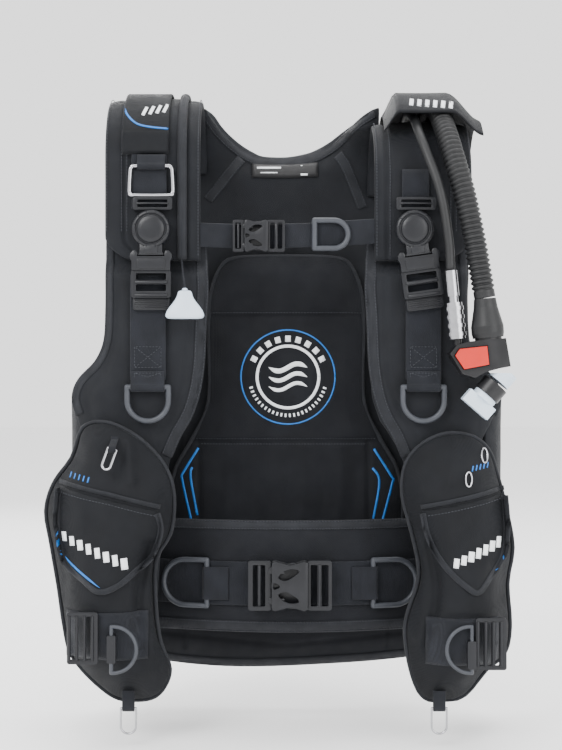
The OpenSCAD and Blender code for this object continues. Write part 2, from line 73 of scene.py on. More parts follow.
BINDING = 1.2 * MM  # thickness of edge tape
SHOULDER_WEBBING = 38 * MM
SHOULDER_RIBS = 11

# Planes and lines of the frame that many pieces share, read from the CAD nodes
STRAP_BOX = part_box("shoulder_strap_left")
FRONT_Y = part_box("front_wing_left")[0].y
ARCH_Y = (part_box("shoulder_strap_right")[0].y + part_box("shoulder_strap_right")[1].y) / 2
ARCH_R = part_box("shoulder_strap_right")[1].y - ARCH_Y
ARCH_Z = {"left": STRAP_BOX[1].z - ARCH_R - 4 * MM,
          "right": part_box("shoulder_strap_right")[1].z - ARCH_R}
STRAP_END_Z = STRAP_BOX[0].z
PANEL_FRONT_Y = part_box("back_panel")[0].y
PANEL_BACK_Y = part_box("back_panel")[1].y
POCKET_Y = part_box("pocket_left")[0].y
BELT_C = Vector((4 * MM, 97 * MM))
BELT_R = BELT_C.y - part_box("cummerbund")[0].y


# ---------------------------------------------------------------- camera, lights

def make_camera():
    """Level, in front of the vest, as far off as the view needs."""
    data = bpy.data.cameras.new("camera")
    data.lens = 68.6
    data.sensor_width = 36
    camera = bpy.data.objects.new("camera", data)
    camera.location = (-6 * MM, -1.8, 27 * MM)
    camera.rotation_euler = (math.radians(90), 0, 0)
    bpy.context.scene.collection.objects.link(camera)
    bpy.context.scene.camera = camera


def area_light(name, place, target, size, watts):
    data = bpy.data.lights.new(name, "AREA")
    data.energy = watts
    data.size = size
    light = bpy.data.objects.new(name, data)
    light.location = place
    aim = Vector(target) - Vector(place)
    light.rotation_euler = aim.to_track_quat("-Z", "Y").to_euler()
    bpy.context.scene.collection.objects.link(light)


def make_stage():
    """A pale floor under the hanging vest, a pale world, and soft studio lights."""
    area_light("key", (-1.3, -2.0, 1.5), (0, -0.2, 0), 1.2, 62)
    area_light("fill", (1.5, -1.8, 0.7), (0, -0.2, 0), 1.6, 34)
    area_light("top", (0.1, 0.1, 2.0), (0, -0.1, 0), 1.5, 36)
    area_light("rim", (-0.9, 1.8, 1.1), (0, -0.1, 0), 1.2, 30)
    world = bpy.data.worlds.new("world")
    bpy.context.scene.world = world
    world.use_nodes = True
    back = world.node_tree.nodes["Background"]
    back.inputs["Color"].default_value = (1.0, 1.0, 1.0, 1)
    back.inputs["Strength"].default_value = 1.9
    mesh = bpy.data.meshes.new("floor")
    z = cad_box[0].z - 12 * MM
    mesh.from_pydata([(-9, -9, z), (9, -9, z), (9, 9, z), (-9, 9, z)], [], [(0, 1, 2, 3)])
    floor = bpy.data.objects.new("floor", mesh)
    bpy.context.scene.collection.objects.link(floor)
    mesh.materials.append(plain("floor_paint", (0.95, 0.95, 0.95), 0.9))


# ---------------------------------------------------------------- materials

def link(tree, a, out, b, into):
    tree.links.new(a.outputs[out], b.inputs[into])


def maths(tree, operation, a, b=None):
    """A maths node on sockets or numbers, giving its output socket."""
    node = tree.nodes.new("ShaderNodeMath")
    node.operation = operation
    for i, value in enumerate((a, b)):
        if value is None:
            continue
        if isinstance(value, (int, float)):
            node.inputs[i].default_value = value
        else:
            tree.links.new(value, node.inputs[i])
    return node.outputs[0]


def plain(name, colour, rough, metallic=0.0):
    material = bpy.data.materials.new(name)
    material.use_nodes = True
    shader = material.node_tree.nodes["Principled BSDF"]
    shader.inputs["Base Color"].default_value = (*colour, 1)
    shader.inputs["Roughness"].default_value = rough
    shader.inputs["Metallic"].default_value = metallic
    return material


def weave(tree, pitch, across=1.0):
    """Height of a plain weave seen along whichever axis the surface faces."""
    coord = tree.nodes.new("ShaderNodeTexCoord")
    place = tree.nodes.new("ShaderNodeSeparateXYZ")
    facing = tree.nodes.new("ShaderNodeSeparateXYZ")
    link(tree, coord, "Object", place, 0)
    link(tree, coord, "Normal", facing, 0)
    turn = 2 * math.pi / pitch
    wave = [maths(tree, "SINE", maths(tree, "MULTIPLY", place.outputs[i],
                                      turn * (across if i == 2 else 1.0)))
            for i in range(3)]
    total = 0.0
    for i in range(3):
        cell = maths(tree, "MULTIPLY", wave[(i + 1) % 3], wave[(i + 2) % 3])
        share = maths(tree, "ABSOLUTE", facing.outputs[i])
        total = maths(tree, "ADD", maths(tree, "MULTIPLY", cell, share), total)
    return total


def patchy(tree, scale, detail=4.0):
    """A soft random pattern, fixed to the piece."""
    coord = tree.nodes.new("ShaderNodeTexCoord")
    cloud = tree.nodes.new("ShaderNodeTexNoise")
    cloud.inputs["Scale"].default_value = scale
    cloud.inputs["Detail"].default_value = detail
    link(tree, coord, "Object", cloud, "Vector")
    return cloud.outputs["Fac"]


def spread(tree, value, low, high):
    """A pattern from 0.3 to 0.7 mapped to low to high."""
    node = tree.nodes.new("ShaderNodeMapRange")
    node.inputs["From Min"].default_value = 0.3
    node.inputs["From Max"].default_value = 0.7
    node.inputs["To Min"].default_value = low
    node.inputs["To Max"].default_value = high
    tree.links.new(value, node.inputs["Value"])
    return node.outputs["Result"]


def two_tone(tree, value, dark, light):
    """Colour between two tones, by a pattern."""
    ramp = tree.nodes.new("ShaderNodeValToRGB")
    ramp.color_ramp.elements[0].position = 0.32
    ramp.color_ramp.elements[0].color = (*dark, 1)
    ramp.color_ramp.elements[1].position = 0.68
    ramp.color_ramp.elements[1].color = (*light, 1)
    tree.links.new(value, ramp.inputs["Fac"])
    return ramp.outputs["Color"]


def worn_edges(tree, amount):
    """Lighter where the mesh has a sharp rim, broken up by noise."""
    geometry = tree.nodes.new("ShaderNodeNewGeometry")
    rim = tree.nodes.new("ShaderNodeMapRange")
    rim.inputs["From Min"].default_value = 0.52
    rim.inputs["From Max"].default_value = 0.62
    rim.inputs["To Max"].default_value = amount
    link(tree, geometry, "Pointiness", rim, "Value")
    return maths(tree, "MULTIPLY", rim.outputs["Result"], patchy(tree, 90))


def surface(name, colour, rough, tone=0.2, scale=30.0, height=None, depth=0.1,
            grain=0.0, metallic=0.0, sheen=0.0, wear=0.0, distance=0.0004, shine=0.5):
    """A procedural finish: mottled colour and roughness, a relief, and worn rims."""
    material = plain(name, colour, rough, metallic)
    tree = material.node_tree
    shader = tree.nodes["Principled BSDF"]
    cloud = patchy(tree, scale)
    dark = [c * (1 - tone) for c in colour]
    light = [min(1.0, c * (1 + tone)) for c in colour]
    tint = two_tone(tree, cloud, dark, light)
    if wear:
        mix = tree.nodes.new("ShaderNodeMix")
        mix.data_type = "RGBA"
        tree.links.new(worn_edges(tree, wear), mix.inputs["Factor"])
        tree.links.new(tint, mix.inputs["A"])
        mix.inputs["B"].default_value = (*[min(1.0, c * 2.2 + 0.03) for c in colour], 1)
        tint = mix.outputs["Result"]
    tree.links.new(tint, shader.inputs["Base Color"])
    tree.links.new(spread(tree, patchy(tree, scale * 2.3), rough * 0.86, rough * 1.12),
                   shader.inputs["Roughness"])
    shader.inputs["Specular IOR Level"].default_value = shine
    shader.inputs["Sheen Weight"].default_value = sheen
    shader.inputs["Sheen Roughness"].default_value = 0.4
    relief = height(tree) if height else 0.0
    if grain:
        relief = maths(tree, "ADD", relief,
                       maths(tree, "MULTIPLY", patchy(tree, grain, 6.0), 1.2))
    bump = tree.nodes.new("ShaderNodeBump")
    bump.inputs["Strength"].default_value = depth
    bump.inputs["Distance"].default_value = distance
    tree.links.new(relief, bump.inputs["Height"])
    link(tree, bump, "Normal", shader, "Normal")
    return material


def make_materials():
    """Every finish, by name."""
    fine = lambda tree: weave(tree, 1.1 * MM)
    coarse = lambda tree: weave(tree, 1.7 * MM)
    ribbed = lambda tree: weave(tree, 2.2 * MM, 1.6)
    cloth = {"sheen": 0.05, "shine": 0.14}
    hard = {"wear": 0.25, "shine": 0.28}
    return {
        "shell": surface("shell_nylon", (0.0072, 0.0080, 0.0102), 0.60, 0.18, 26, fine,
                         0.5, 900, **cloth),
        "pocket": surface("pocket_nylon", (0.0050, 0.0056, 0.0072), 0.56, 0.16, 30,
                          fine, 0.45, 700, sheen=0.03, shine=0.13),
        "pad": surface("pad_polyester", (0.0075, 0.0082, 0.0105), 0.70, 0.18, 24,
                       coarse, 0.6, 800, **cloth),
        "tape": surface("binding_tape", (0.0145, 0.0155, 0.0185), 0.62, 0.16, 60,
                        ribbed, 0.7, 900, **cloth),
        "webbing": surface("harness_webbing", (0.0120, 0.0132, 0.0170), 0.56, 0.2, 50,
                           ribbed, 0.9, 700, **cloth),
        "thread": surface("thread", (0.030, 0.032, 0.038), 0.55, 0.2, 300, None, 0.4,
                          1500, shine=0.2),
        "buckle": surface("acetal", (0.0070, 0.0075, 0.0095), 0.33, 0.12, 70, None,
                          0.25, 1600, **hard),
        "ring": surface("ring_nylon", (0.034, 0.037, 0.044), 0.38, 0.10, 90, None, 0.3,
                        1400, **hard),
        "black": surface("inflator_abs", (0.0075, 0.0075, 0.0085), 0.34, 0.12, 60, None,
                         0.25, 1500, **hard),
        "rubber": surface("hose_rubber", (0.0085, 0.0088, 0.0095), 0.46, 0.15, 70, None,
                          0.3, 1100, wear=0.3, shine=0.3),
        "steel": surface("steel", (0.40, 0.40, 0.42), 0.2, 0.06, 120, None, 0.12, 1800,
                         metallic=1.0),
        "pale": surface("pale_silicone", (0.50, 0.58, 0.67), 0.42, 0.04, 40, None, 0.2,
                        900),
        "red": surface("button_red", (0.46, 0.010, 0.002), 0.32, 0.06, 60, None, 0.15,
                       900),
        "blue": surface("print_blue", (0.008, 0.125, 0.42), 0.45, 0.10, 90, fine, 0.3,
                        900, shine=0.3),
        "white": surface("print_white", (0.78, 0.80, 0.82), 0.5, 0.05, 90, fine, 0.3,
                         900, shine=0.3),
        "label": surface("label_satin", (0.004, 0.004, 0.005), 0.4, 0.1, 90, fine, 0.3,
                         900, shine=0.3),
        "plate": surface("backplate_plastic", (0.010, 0.0105, 0.012), 0.46, 0.12, 40,
                         None, 0.4, 1000, **hard),
    }


# ---------------------------------------------------------------- mesh tools

def curve(points, steps, closed=False):
    """A smooth curve through the points, steps pieces between each pair."""
    p = [Vector(q) for q in points]
    m = len(p)
    out = []
    for i in range(m if closed else m - 1):
        if closed:
            a, b, c, d = p[i - 1], p[i], p[(i + 1) % m], p[(i + 2) % m]
        else:
            a, b, c, d = p[max(i - 1, 0)], p[i], p[i + 1], p[min(i + 2, m - 1)]
        for j in range(steps):
            t = j / steps
            out.append(0.5 * ((2 * b) + (c - a) * t + (2 * a - 5 * b + 4 * c - d) * t * t
                              + (3 * b - a - 3 * c + d) * t ** 3))
    if not closed:
        out.append(p[-1])
    return out


def mm(*pairs):
    """Points given in millimetres, as vectors in metres."""
    return [Vector(q) * MM for q in pairs]


def sided(sign, *pairs):
    """Points in millimetres on one side, left for -1 and right for 1."""
    return mm(*((sign * x, z) for x, z in pairs))


def mirror_x(points):
    return [Vector((-q[0], *q[1:])) for q in reversed(points)]


def evenly(points, step, closed=False):
    """The same line with points about step apart."""
    p = np.array([list(q) for q in points] + ([list(points[0])] if closed else []))
    run = np.concatenate([[0], np.cumsum(np.linalg.norm(np.diff(p, axis=0), axis=1))])
    n = max(3, int(round(run[-1] / step)))
    at = np.linspace(0, run[-1], n + 1)
    if closed:
        at = at[:-1]
    return [Vector(q) for q in
            np.stack([np.interp(at, run, p[:, k]) for k in range(p.shape[1])], 1)]


def length_of(points):
    return sum((b - a).length for a, b in zip(points, points[1:]))


def piece(name, verts, faces, material, body="root", replaces=(), slot=None, flat=False):
    """A new mesh piece that rides on a body."""
    mesh = bpy.data.meshes.new(name)
    mesh.from_pydata([tuple(v) for v in verts], [], [tuple(f) for f in faces])
    mesh.update()
    if not flat:
        mesh.polygons.foreach_set("use_smooth", [True] * len(mesh.polygons))
    made = bpy.data.objects.new(name, mesh)
    bpy.context.scene.collection.objects.link(made)
    mesh.materials.append(MATERIALS[material])
    work = bmesh.new()
    work.from_mesh(mesh)
    bmesh.ops.recalc_face_normals(work, faces=work.faces)
    work.to_mesh(mesh)
    work.free()
    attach(made, body)
    if replaces:
        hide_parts(*replaces)
    return made


def bend_at_hinge(name, body, start, end):
    """Takes a piece off its body, keeping its place, and bakes that place into its mesh.
    The body, start and end are not used."""
    made = bpy.data.objects[name]
    world = made.matrix_world.copy()
    made.parent = None
    made.matrix_world = world
    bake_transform(made)


def join_parts(parts):
    """One list of vertices and faces out of several."""
    verts, faces = [], []
    for v, f in parts:
        faces += [[i + len(verts) for i in g] for g in f]
        verts += list(v)
    return verts, faces


def grid_faces(rows, columns, wrap_rows=False, wrap_columns=False):
    faces = []
    for i in range(rows if wrap_rows else rows - 1):
        for j in range(columns if wrap_columns else columns - 1):
            a, b = i * columns + j, i * columns + (j + 1) % columns
            c = ((i + 1) % rows) * columns + (j + 1) % columns
            d = ((i + 1) % rows) * columns + j
            faces.append([a, b, c, d])
    return faces


def swept(path, side, profile, closed=False, scale=None):
    """A closed profile of (across, out) pairs carried along a path. side gives the
    across direction: one vector, or one for each point."""
    n, k = len(path), len(profile)
    verts = []
    for i, p in enumerate(path):
        ahead = path[(i + 1) % n] if closed else path[min(i + 1, n - 1)]
        behind = path[i - 1] if closed else path[max(i - 1, 0)]
        along = (ahead - behind).normalized()
        s = Vector(side[i] if isinstance(side, list) else side)
        s = (s - along * s.dot(along)).normalized()
        out = s.cross(along).normalized()
        size = scale(i / (n - 1)) if scale else 1.0
        verts += [p + s * (a * size) + out * (b * size) for a, b in profile]
    faces = grid_faces(n, k, closed, True)
    if not closed:
        faces += [list(range(k)), [(n - 1) * k + j for j in reversed(range(k))]]
    return verts, faces


def oval(a, b, sides=12):
    """An oval profile of half-widths a across and b out."""
    return [(a * math.cos(2 * math.pi * i / sides), b * math.sin(2 * math.pi * i / sides))
            for i in range(sides)]


def band_profile(width, thick, ribs=0):
    """A flat strap's section: round edges, and shallow ribs along its length."""
    half, t = width / 2, thick / 2
    n = max(6, ribs * 2)
    top = []
    for i in range(n + 1):
        a = -half + t + (width - 2 * t) * i / n
        dip = 0.12 * thick if (ribs and i % 2) else 0.0
        top.append((a, t - dip))
    right = [(half - t * 0.3, t * 0.6), (half, 0), (half - t * 0.3, -t * 0.6)]
    bottom = [(a, -b) for a, b in reversed(top)]
    left = [(-half + t * 0.3, -t * 0.6), (-half, 0), (-half + t * 0.3, t * 0.6)]
    return top + right + bottom + left


def bevelled(obj, width, segments=2, angle=30):
    """Rounds a hard piece's edges without touching its mesh."""
    bevel = obj.modifiers.new("bevel", "BEVEL")
    bevel.width = width
    bevel.segments = segments
    bevel.limit_method = "ANGLE"
    bevel.angle_limit = math.radians(angle)
    bevel.harden_normals = False
    return obj


def finish_node(name, material, bevel=0.0, segments=2):
    """Gives a CAD node its finish, with its edges rounded where they are hard."""
    node = NODES[name]
    node.data.materials.clear()
    node.data.materials.append(MATERIALS[material])
    if bevel:
        bevelled(node, bevel, segments)
    return node


# ---------------------------------------------------------------- soft panels

PANELS = []


def distance_to(points, line, closed=False):
    """Distance of each (x, z) point to a line, and 0..1 along it."""
    a = np.array([[q[0], q[1]] for q in line])
    b = np.roll(a, -1, 0) if closed else a[1:]
    a = a if closed else a[:-1]
    best = np.full(len(points), 1e9)
    for p, q in zip(a, b):
        d = q - p
        t = np.clip(((points - p) @ d) / max(d @ d, 1e-12), 0, 1)
        best = np.minimum(best, np.linalg.norm(points - (p + t[:, None] * d), axis=1))
    return best


def soft_step(x, low, high):
    t = np.clip((x - low) / (high - low), 0, 1)
    return t * t * (3 - 2 * t)


class Panel:
    """A padded fabric panel. outline is in X and Z; the panel fills y from front to
    back, with thin edges where edge says, and bend moves it into its final shape."""

    def __init__(self, name, outline, front, back, material, replaces=(), slot=None,
                 edge=0.4, crown=0.025, anchor=0.5, seams=(), folds=(), bend=None,
                 wrinkle=0.0012, body="root", fill=0.5, voxel=0.0055, puff=0.006):
        self.__dict__.update(locals())
        PANELS.append(self)
        half = max((back - front) / 2 - 0.0015, 1.3 * voxel)
        middle = (front + back) / 2
        work = bmesh.new()
        ring = [work.verts.new((q.x, middle - half, q.y)) for q in outline]
        face = work.faces.new(ring)
        pushed = bmesh.ops.extrude_face_region(work, geom=[face])["geom"]
        moved = [v for v in pushed if isinstance(v, bmesh.types.BMVert)]
        bmesh.ops.translate(work, verts=moved, vec=(0, 2 * half, 0))
        bmesh.ops.recalc_face_normals(work, faces=work.faces)
        mesh = bpy.data.meshes.new(name)
        work.to_mesh(mesh)
        work.free()
        self.obj = bpy.data.objects.new(name, mesh)
        bpy.context.scene.collection.objects.link(self.obj)
        remesh = self.obj.modifiers.new("remesh", "REMESH")
        remesh.mode = "VOXEL"
        remesh.voxel_size = voxel
        self.bake()
        self.rest = self.points()

    def bake(self):
        """Applies the modifiers to the mesh."""
        graph = bpy.context.evaluated_depsgraph_get()
        done = bpy.data.meshes.new_from_object(self.obj.evaluated_get(graph))
        self.obj.modifiers.clear()
        old = self.obj.data
        self.obj.data = done
        bpy.data.meshes.remove(old)

    def points(self):
        p = np.zeros(len(self.obj.data.vertices) * 3)
        self.obj.data.vertices.foreach_get("co", p)
        return p.reshape(-1, 3)

    def put(self, p):
        self.obj.data.vertices.foreach_set("co", p.astype(np.float32).ravel())
        self.obj.data.update()

    def add_cloth(self):
        cloth = self.obj.modifiers.new("cloth", "CLOTH")
        cloth.point_cache.frame_start = 1
        cloth.point_cache.frame_end = 20
        settings = cloth.settings
        settings.quality = 4
        settings.mass = 0.3
        settings.use_pressure = True
        settings.uniform_pressure_force = 4
        settings.effector_weights.gravity = 0
        cloth.collision_settings.use_collision = False

    def take_cloth(self):
        """Keeps the simulated shape, with its movement capped."""
        self.bake()
        moved = self.points() - self.rest
        size = np.linalg.norm(moved, axis=1)
        moved *= np.minimum(1, self.puff / np.maximum(size, 1e-9))[:, None]
        moved[:, [0, 2]] *= 0.35
        self.put(self.rest + moved)

    def shape(self):
        """Subdivides, then thins the edges, sinks the seams and adds folds."""
        self.obj.modifiers.new("smooth", "SUBSURF").levels = 1
        self.bake()
        p = self.points()
        flat = p[:, [0, 2]]
        inside = distance_to(flat, self.outline, True)
        thick = self.back - self.front
        low, high = p[:, 1].min(), p[:, 1].max()
        share = (p[:, 1] - low) / max(high - low, 1e-9)       # 0 front, 1 back
        room = self.edge + (1 - self.edge) * np.sqrt(soft_step(inside, 0, self.crown))
        for line, depth, width in self.seams:
            room -= depth * np.exp(-(distance_to(flat, line) / width) ** 2)
        face = np.where(share < 0.5, -1.0, 1.0) * np.abs(2 * share - 1)
        for line, height, width in self.folds:
            room += height * np.exp(-(distance_to(flat, line) / width) ** 2) * (face < 0)
        size = thick * np.maximum(room, 0.12)
        y = self.front + self.anchor * thick + (share - self.anchor) * size
        bumps = np.array([noise.noise(Vector((q[0] * 17, q[1] * 9 + self.fill, q[2] * 11)))
                          + 0.5 * noise.noise(Vector((q[0] * 41, q[1] * 9, q[2] * 29)))
                          for q in p])
        y += face * bumps * self.wrinkle * soft_step(inside, 0, 0.02)
        p[:, 1] = y
        if self.bend:
            p = self.bend(p)
        self.put(p)
        polygons = self.obj.data.polygons
        polygons.foreach_set("use_smooth", [True] * len(polygons))
        self.obj.data.materials.append(MATERIALS[self.material])
        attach(self.obj, self.body)
        if self.replaces:
            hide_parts(*self.replaces)
        self.skin = skin_of(self.obj)


def simulate(panels):
    """Puffs all the panels at once."""
    for panel in panels:
        panel.add_cloth()
    for step in range(1, 21):
        bpy.context.scene.frame_set(step)
    for panel in panels:
        panel.take_cloth()
    bpy.context.scene.frame_set(1)


class Skin:
    """A surface that strips are laid on."""

    def __init__(self, verts, faces):
        self.tree = BVHTree.FromPolygons(verts, faces)
        self.middle = sum(v[1] for v in verts) / len(verts)


def skin_of(obj):
    mesh = obj.data
    return Skin([v.co for v in mesh.vertices], [f.vertices for f in mesh.polygons])


def on_front(skins, x, z, offset, back=False):
    """The point on the front of the skins at x and z, stood off by offset. Past their
    edges it takes the depth of the nearest point."""
    sign = -1 if back else 1
    best = None
    for skin in skins:
        hit = skin.tree.ray_cast(Vector((x, -sign * 1.0, z)), Vector((0, sign, 0)))
        if hit[0] is not None and (best is None or sign * hit[0].y < sign * best):
            best = hit[0].y
    if best is None:
        near = [skin.tree.find_nearest(Vector((x, skin.middle, z))) for skin in skins]
        best = min(near, key=lambda hit: hit[3])[0].y
    return Vector((x, best - sign * offset, z))


def tape(skins, line, width, thick, across=4, back=False, end_taper=False):
    """A thin raised strip that follows a line in X and Z over the panels' surface."""
    n = len(line)
    top, low = [], []
    for i, p in enumerate(line):
        a, b = line[max(i - 1, 0)], line[min(i + 1, n - 1)]
        along = Vector((b[0] - a[0], b[1] - a[1])).normalized()
        side = Vector((-along.y, along.x))
        w = width
        if end_taper:
            w *= min(1.0, 0.15 + 6 * min(i, n - 1 - i) / n)
        for j in range(across + 1):
            q = Vector((p[0], p[1])) + side * (w * (j / across - 0.5))
            lift = thick * (1 - 0.55 * (j in (0, across)))
            top.append(on_front(skins, q.x, q.y, lift, back))
            low.append(on_front(skins, q.x, q.y, -0.6 * MM, back))
    k = across + 1
    m = len(top)
    faces = grid_faces(n, k)
    faces += [[i + m for i in reversed(f)] for f in grid_faces(n, k)]
    for i in range(n - 1):
        a = i * k
        faces.append([a, a + m, a + k + m, a + k])
        b = a + across
        faces.append([b, b + k, b + k + m, b + m])
    for j in range(across):
        faces.append([j, j + 1, j + 1 + m, j + m])
        e = (n - 1) * k + j
        faces.append([e, e + m, e + 1 + m, e + 1])
    return top + low, faces


def stitches(skins, line, back=False, pitch=3.4, length=2.2):
    """A row of short raised threads along a line in X and Z."""
    points = evenly(line, pitch * MM)
    parts = []
    for a, b in zip(points, points[1:]):
        end = a + (b - a) * (length / pitch)
        parts.append(tape(skins, [a, (a + end) / 2, end], 0.8 * MM, 0.5 * MM, 2, back))
    return join_parts(parts)


def panel_edge(panel, q):
    """Where the middle of a panel's edge ends up for an outline point."""
    thick = panel.back - panel.front
    y = panel.front + panel.anchor * thick + (0.5 - panel.anchor) * thick * panel.edge
    p = np.array([[q[0], y, q[1]]])
    if panel.bend:
        p = panel.bend(p)
    return Vector(p[0])


# ---------------------------------------------------------------- cords and hoses

LP_ROUTE = mm((172, -300, 137), (171, -300, 160), (168, -300, 185), (164, -298, 210),
              (158, -294, 234), (150, -287, 258), (143, -275, 281), (139, -256, 300),
              (137, -231, 313), (136, -205, 319), (135, -179, 317), (134, -154, 309),
              (132, -131, 293), (130, -111, 269), (128, -96, 241), (126, -88, 211),
              (125, -85, 180), (124, -84, 148), (124, -84, 116), (124, -84, 84),
              (124, -84, 52), (124, -84, 20), (124, -84, -12))
HOSE_ROUTE = mm((160, -90, 236), (160, -90, 241), (160, -90, 247), (160, -97, 265),
                (160, -114, 284), (161, -137, 304), (162, -164, 320), (163, -195, 325),
                (165, -226, 319), (168, -254, 302), (173, -275, 277), (179, -288, 250),
                (186, -296, 222), (192, -300, 194), (198, -300, 165), (203, -300, 136),
                (208, -300, 108))
CORD_ROUTE = mm((-112, -273, 190), (-112, -273, 178), (-112, -273, 166),
                (-112, -273, 156), (-112, -273, 148), (-111, -276, 141),
                (-110, -282, 133), (-108.5, -289, 126), (-107.5, -292, 120),
                (-107.5, -292, 116))


def make_cords():
    """The thin gas hose, the corrugated breathing hose, and the dump valve's cord."""
    path = evenly(curve(LP_ROUTE, 6), 5 * MM)
    hose = piece("gas_hose", *swept(path, Vector((1, 0, 0)), oval(5 * MM, 5 * MM, 20)),
                 "rubber", replaces=["lp_hose"], slot="hose_rubber")

    pitch, rings = 5.4 * MM, 8
    line = curve(HOSE_ROUTE, 8)
    path = evenly(line, pitch / rings)
    turns = length_of(path) / pitch
    plain_end = 0.018

    def ridge(t):
        wave = 0.5 - 0.5 * math.cos(2 * math.pi * t * turns)
        if t < plain_end or t > 1 - plain_end:
            return 0.93
        return 1.0 - 0.17 * (1 - wave) ** 1.6

    hose = piece("breathing_hose",
                 *swept(path, Vector((1, 0, 0)), oval(12 * MM, 12 * MM, 28),
                        scale=ridge), "rubber", replaces=["corrugated_hose"],
                 slot="hose_rubber")

    path = evenly(curve(CORD_ROUTE, 5), 1.2 * MM)
    cord = piece("dump_pull_cord", *swept(path, Vector((1, 0, 0)), oval(MM, MM, 10)),
                 "webbing", body="dump_knob", replaces=["dump_cord"], slot="cord")


# ---------------------------------------------------------------- shoulder straps

def shoulder_path(side, offset, low=None, start=0.0, step=5 * MM):
    """From the back end, over the shoulder, and down the front, offset outwards."""
    r = ARCH_R + offset
    z0 = ARCH_Z[side]
    low = STRAP_END_Z if low is None else low
    points = [Vector((0, ARCH_Y + r * math.cos(a), z0 + r * math.sin(a)))
              for a in np.linspace(math.radians(start), math.pi, 60)]
    points += [Vector((0, ARCH_Y - r, z)) for z in np.linspace(z0, low, 24)[1:]]
    return evenly(points, step)


def at_x(points, x):
    return [Vector((x, p.y, p.z)) for p in points]


def strap(side, x0, x1, round_x, band_out, band_in):
    """The padded shoulder strap: a crowned pad between two bound edges, with its
    outer lower corner rounded off."""
    path = shoulder_path(side, 0.0, step=4 * MM)
    n, k = len(path), 41
    thick = 13 * MM
    total = length_of(path)
    verts, inner = [], []
    run = 0.0
    sign = 1 if x1 > 0 else -1
    for i, p in enumerate(path):
        if i:
            run += (p - path[i - 1]).length
        ahead = path[min(i + 1, n - 1)] - path[max(i - 1, 0)]
        out = Vector((0, -ahead.z, ahead.y)).normalized() * -1
        if out.dot(Vector((0, p.y - ARCH_Y, max(p.z - ARCH_Z[side], 0)))) < 0:
            out = -out
        left = total - run
        cut = max(0.0, 1 - left / (26 * MM)) ** 2 * round_x
        lo, hi = (x0, x1 - cut) if sign > 0 else (x0 + cut, x1)
        for j in range(k):
            t = j / (k - 1)
            x = lo + (hi - lo) * t
            from_out = (hi - x) if sign > 0 else (x - lo)
            from_in = (hi - lo) - from_out
            edge = min(from_out, from_in, left + 2 * MM, run + 12 * MM)
            room = 0.45 + 0.55 * math.sqrt(min(1.0, max(0.0, edge) / (9 * MM)))
            h = thick * (0.84 + 0.16 * math.sin(math.pi * t))
            for seam in (from_out - band_out, from_in - band_in):
                h -= 2.6 * MM * math.exp(-(seam / (1.7 * MM)) ** 2)
            if from_out < band_out or from_in < band_in:
                h -= 0.9 * MM
            wobble = noise.noise(Vector((x * 34, run * 30, 3.1))) * 0.7 * MM
            wobble += noise.noise(Vector((x * 90, run * 60, 7.7))) * 0.35 * MM
            h = (h + wobble) * room + (1 - room) * thick * 0.5
            base = p - out * (14 * MM)
            verts.append(Vector((x, base.y, base.z)) + out * h)
            inner.append(Vector((x, base.y, base.z)) + out * thick * 0.5 * (1 - room))
    m = len(verts)
    faces = grid_faces(n, k)
    faces += [[i + m for i in reversed(f)] for f in grid_faces(n, k)]
    for i in range(n - 1):
        a, b = i * k, i * k + k - 1
        faces += [[a, a + m, a + k + m, a + k], [b, b + k, b + k + m, b + m]]
    for j in range(k - 1):
        e = (n - 1) * k + j
        faces += [[j, j + 1, j + 1 + m, j + m], [e, e + m, e + 1 + m, e + 1]]
    made = piece("strap_pad_" + side, verts + inner, faces, "shell",
                 replaces=["shoulder_strap_" + side], slot="shell_fabric")
    return Skin(verts + inner, faces)


def stitch_path(path, side, pitch=3.4 * MM, length=2.2 * MM):
    """Threads laid along a path in space."""
    points = evenly(path, pitch)
    parts = []
    for a, b in zip(points, points[1:]):
        parts.append(swept([a, a + (b - a) * (length / pitch)], side,
                           oval(0.45 * MM, 0.35 * MM, 6)))
    return join_parts(parts)


def make_straps():
    straps = {}
    straps["left"] = strap("left", -195 * MM, -93 * MM, 26 * MM, 21 * MM, 15 * MM)
    straps["right"] = strap("right", 95 * MM, 199 * MM, 26 * MM, 20 * MM, 14 * MM)
    for side, xs in (("left", (-193, -177, -171, -110, -95)),
                     ("right", (197, 182, 176, 111, 97))):
        parts = []
        for i, x in enumerate(xs):
            lift = (-2.6, -1.4, -0.9, -0.9, -2.4)[i]
            low = STRAP_END_Z + (30 if i < 3 else 4) * MM
            path = at_x(shoulder_path(side, lift * MM, low, 6 / 57), x * MM)
            parts.append(stitch_path(path, Vector((-1, 0, 0))))
        piece("strap_stitches_" + side, *join_parts(parts), "thread",
              slot="shell_fabric")
    # The sleeve that guides the dump valve's cord
    path = at_x(shoulder_path("left", 0.4 * MM, STRAP_END_Z + 1 * MM, 20), -112 * MM)
    piece("cord_sleeve", *swept(path, Vector((-1, 0, 0)), oval(5 * MM, 4 * MM, 16)),
          "tape", slot="shell_fabric")
    return straps


# ---------------------------------------------------------------- padded fabric

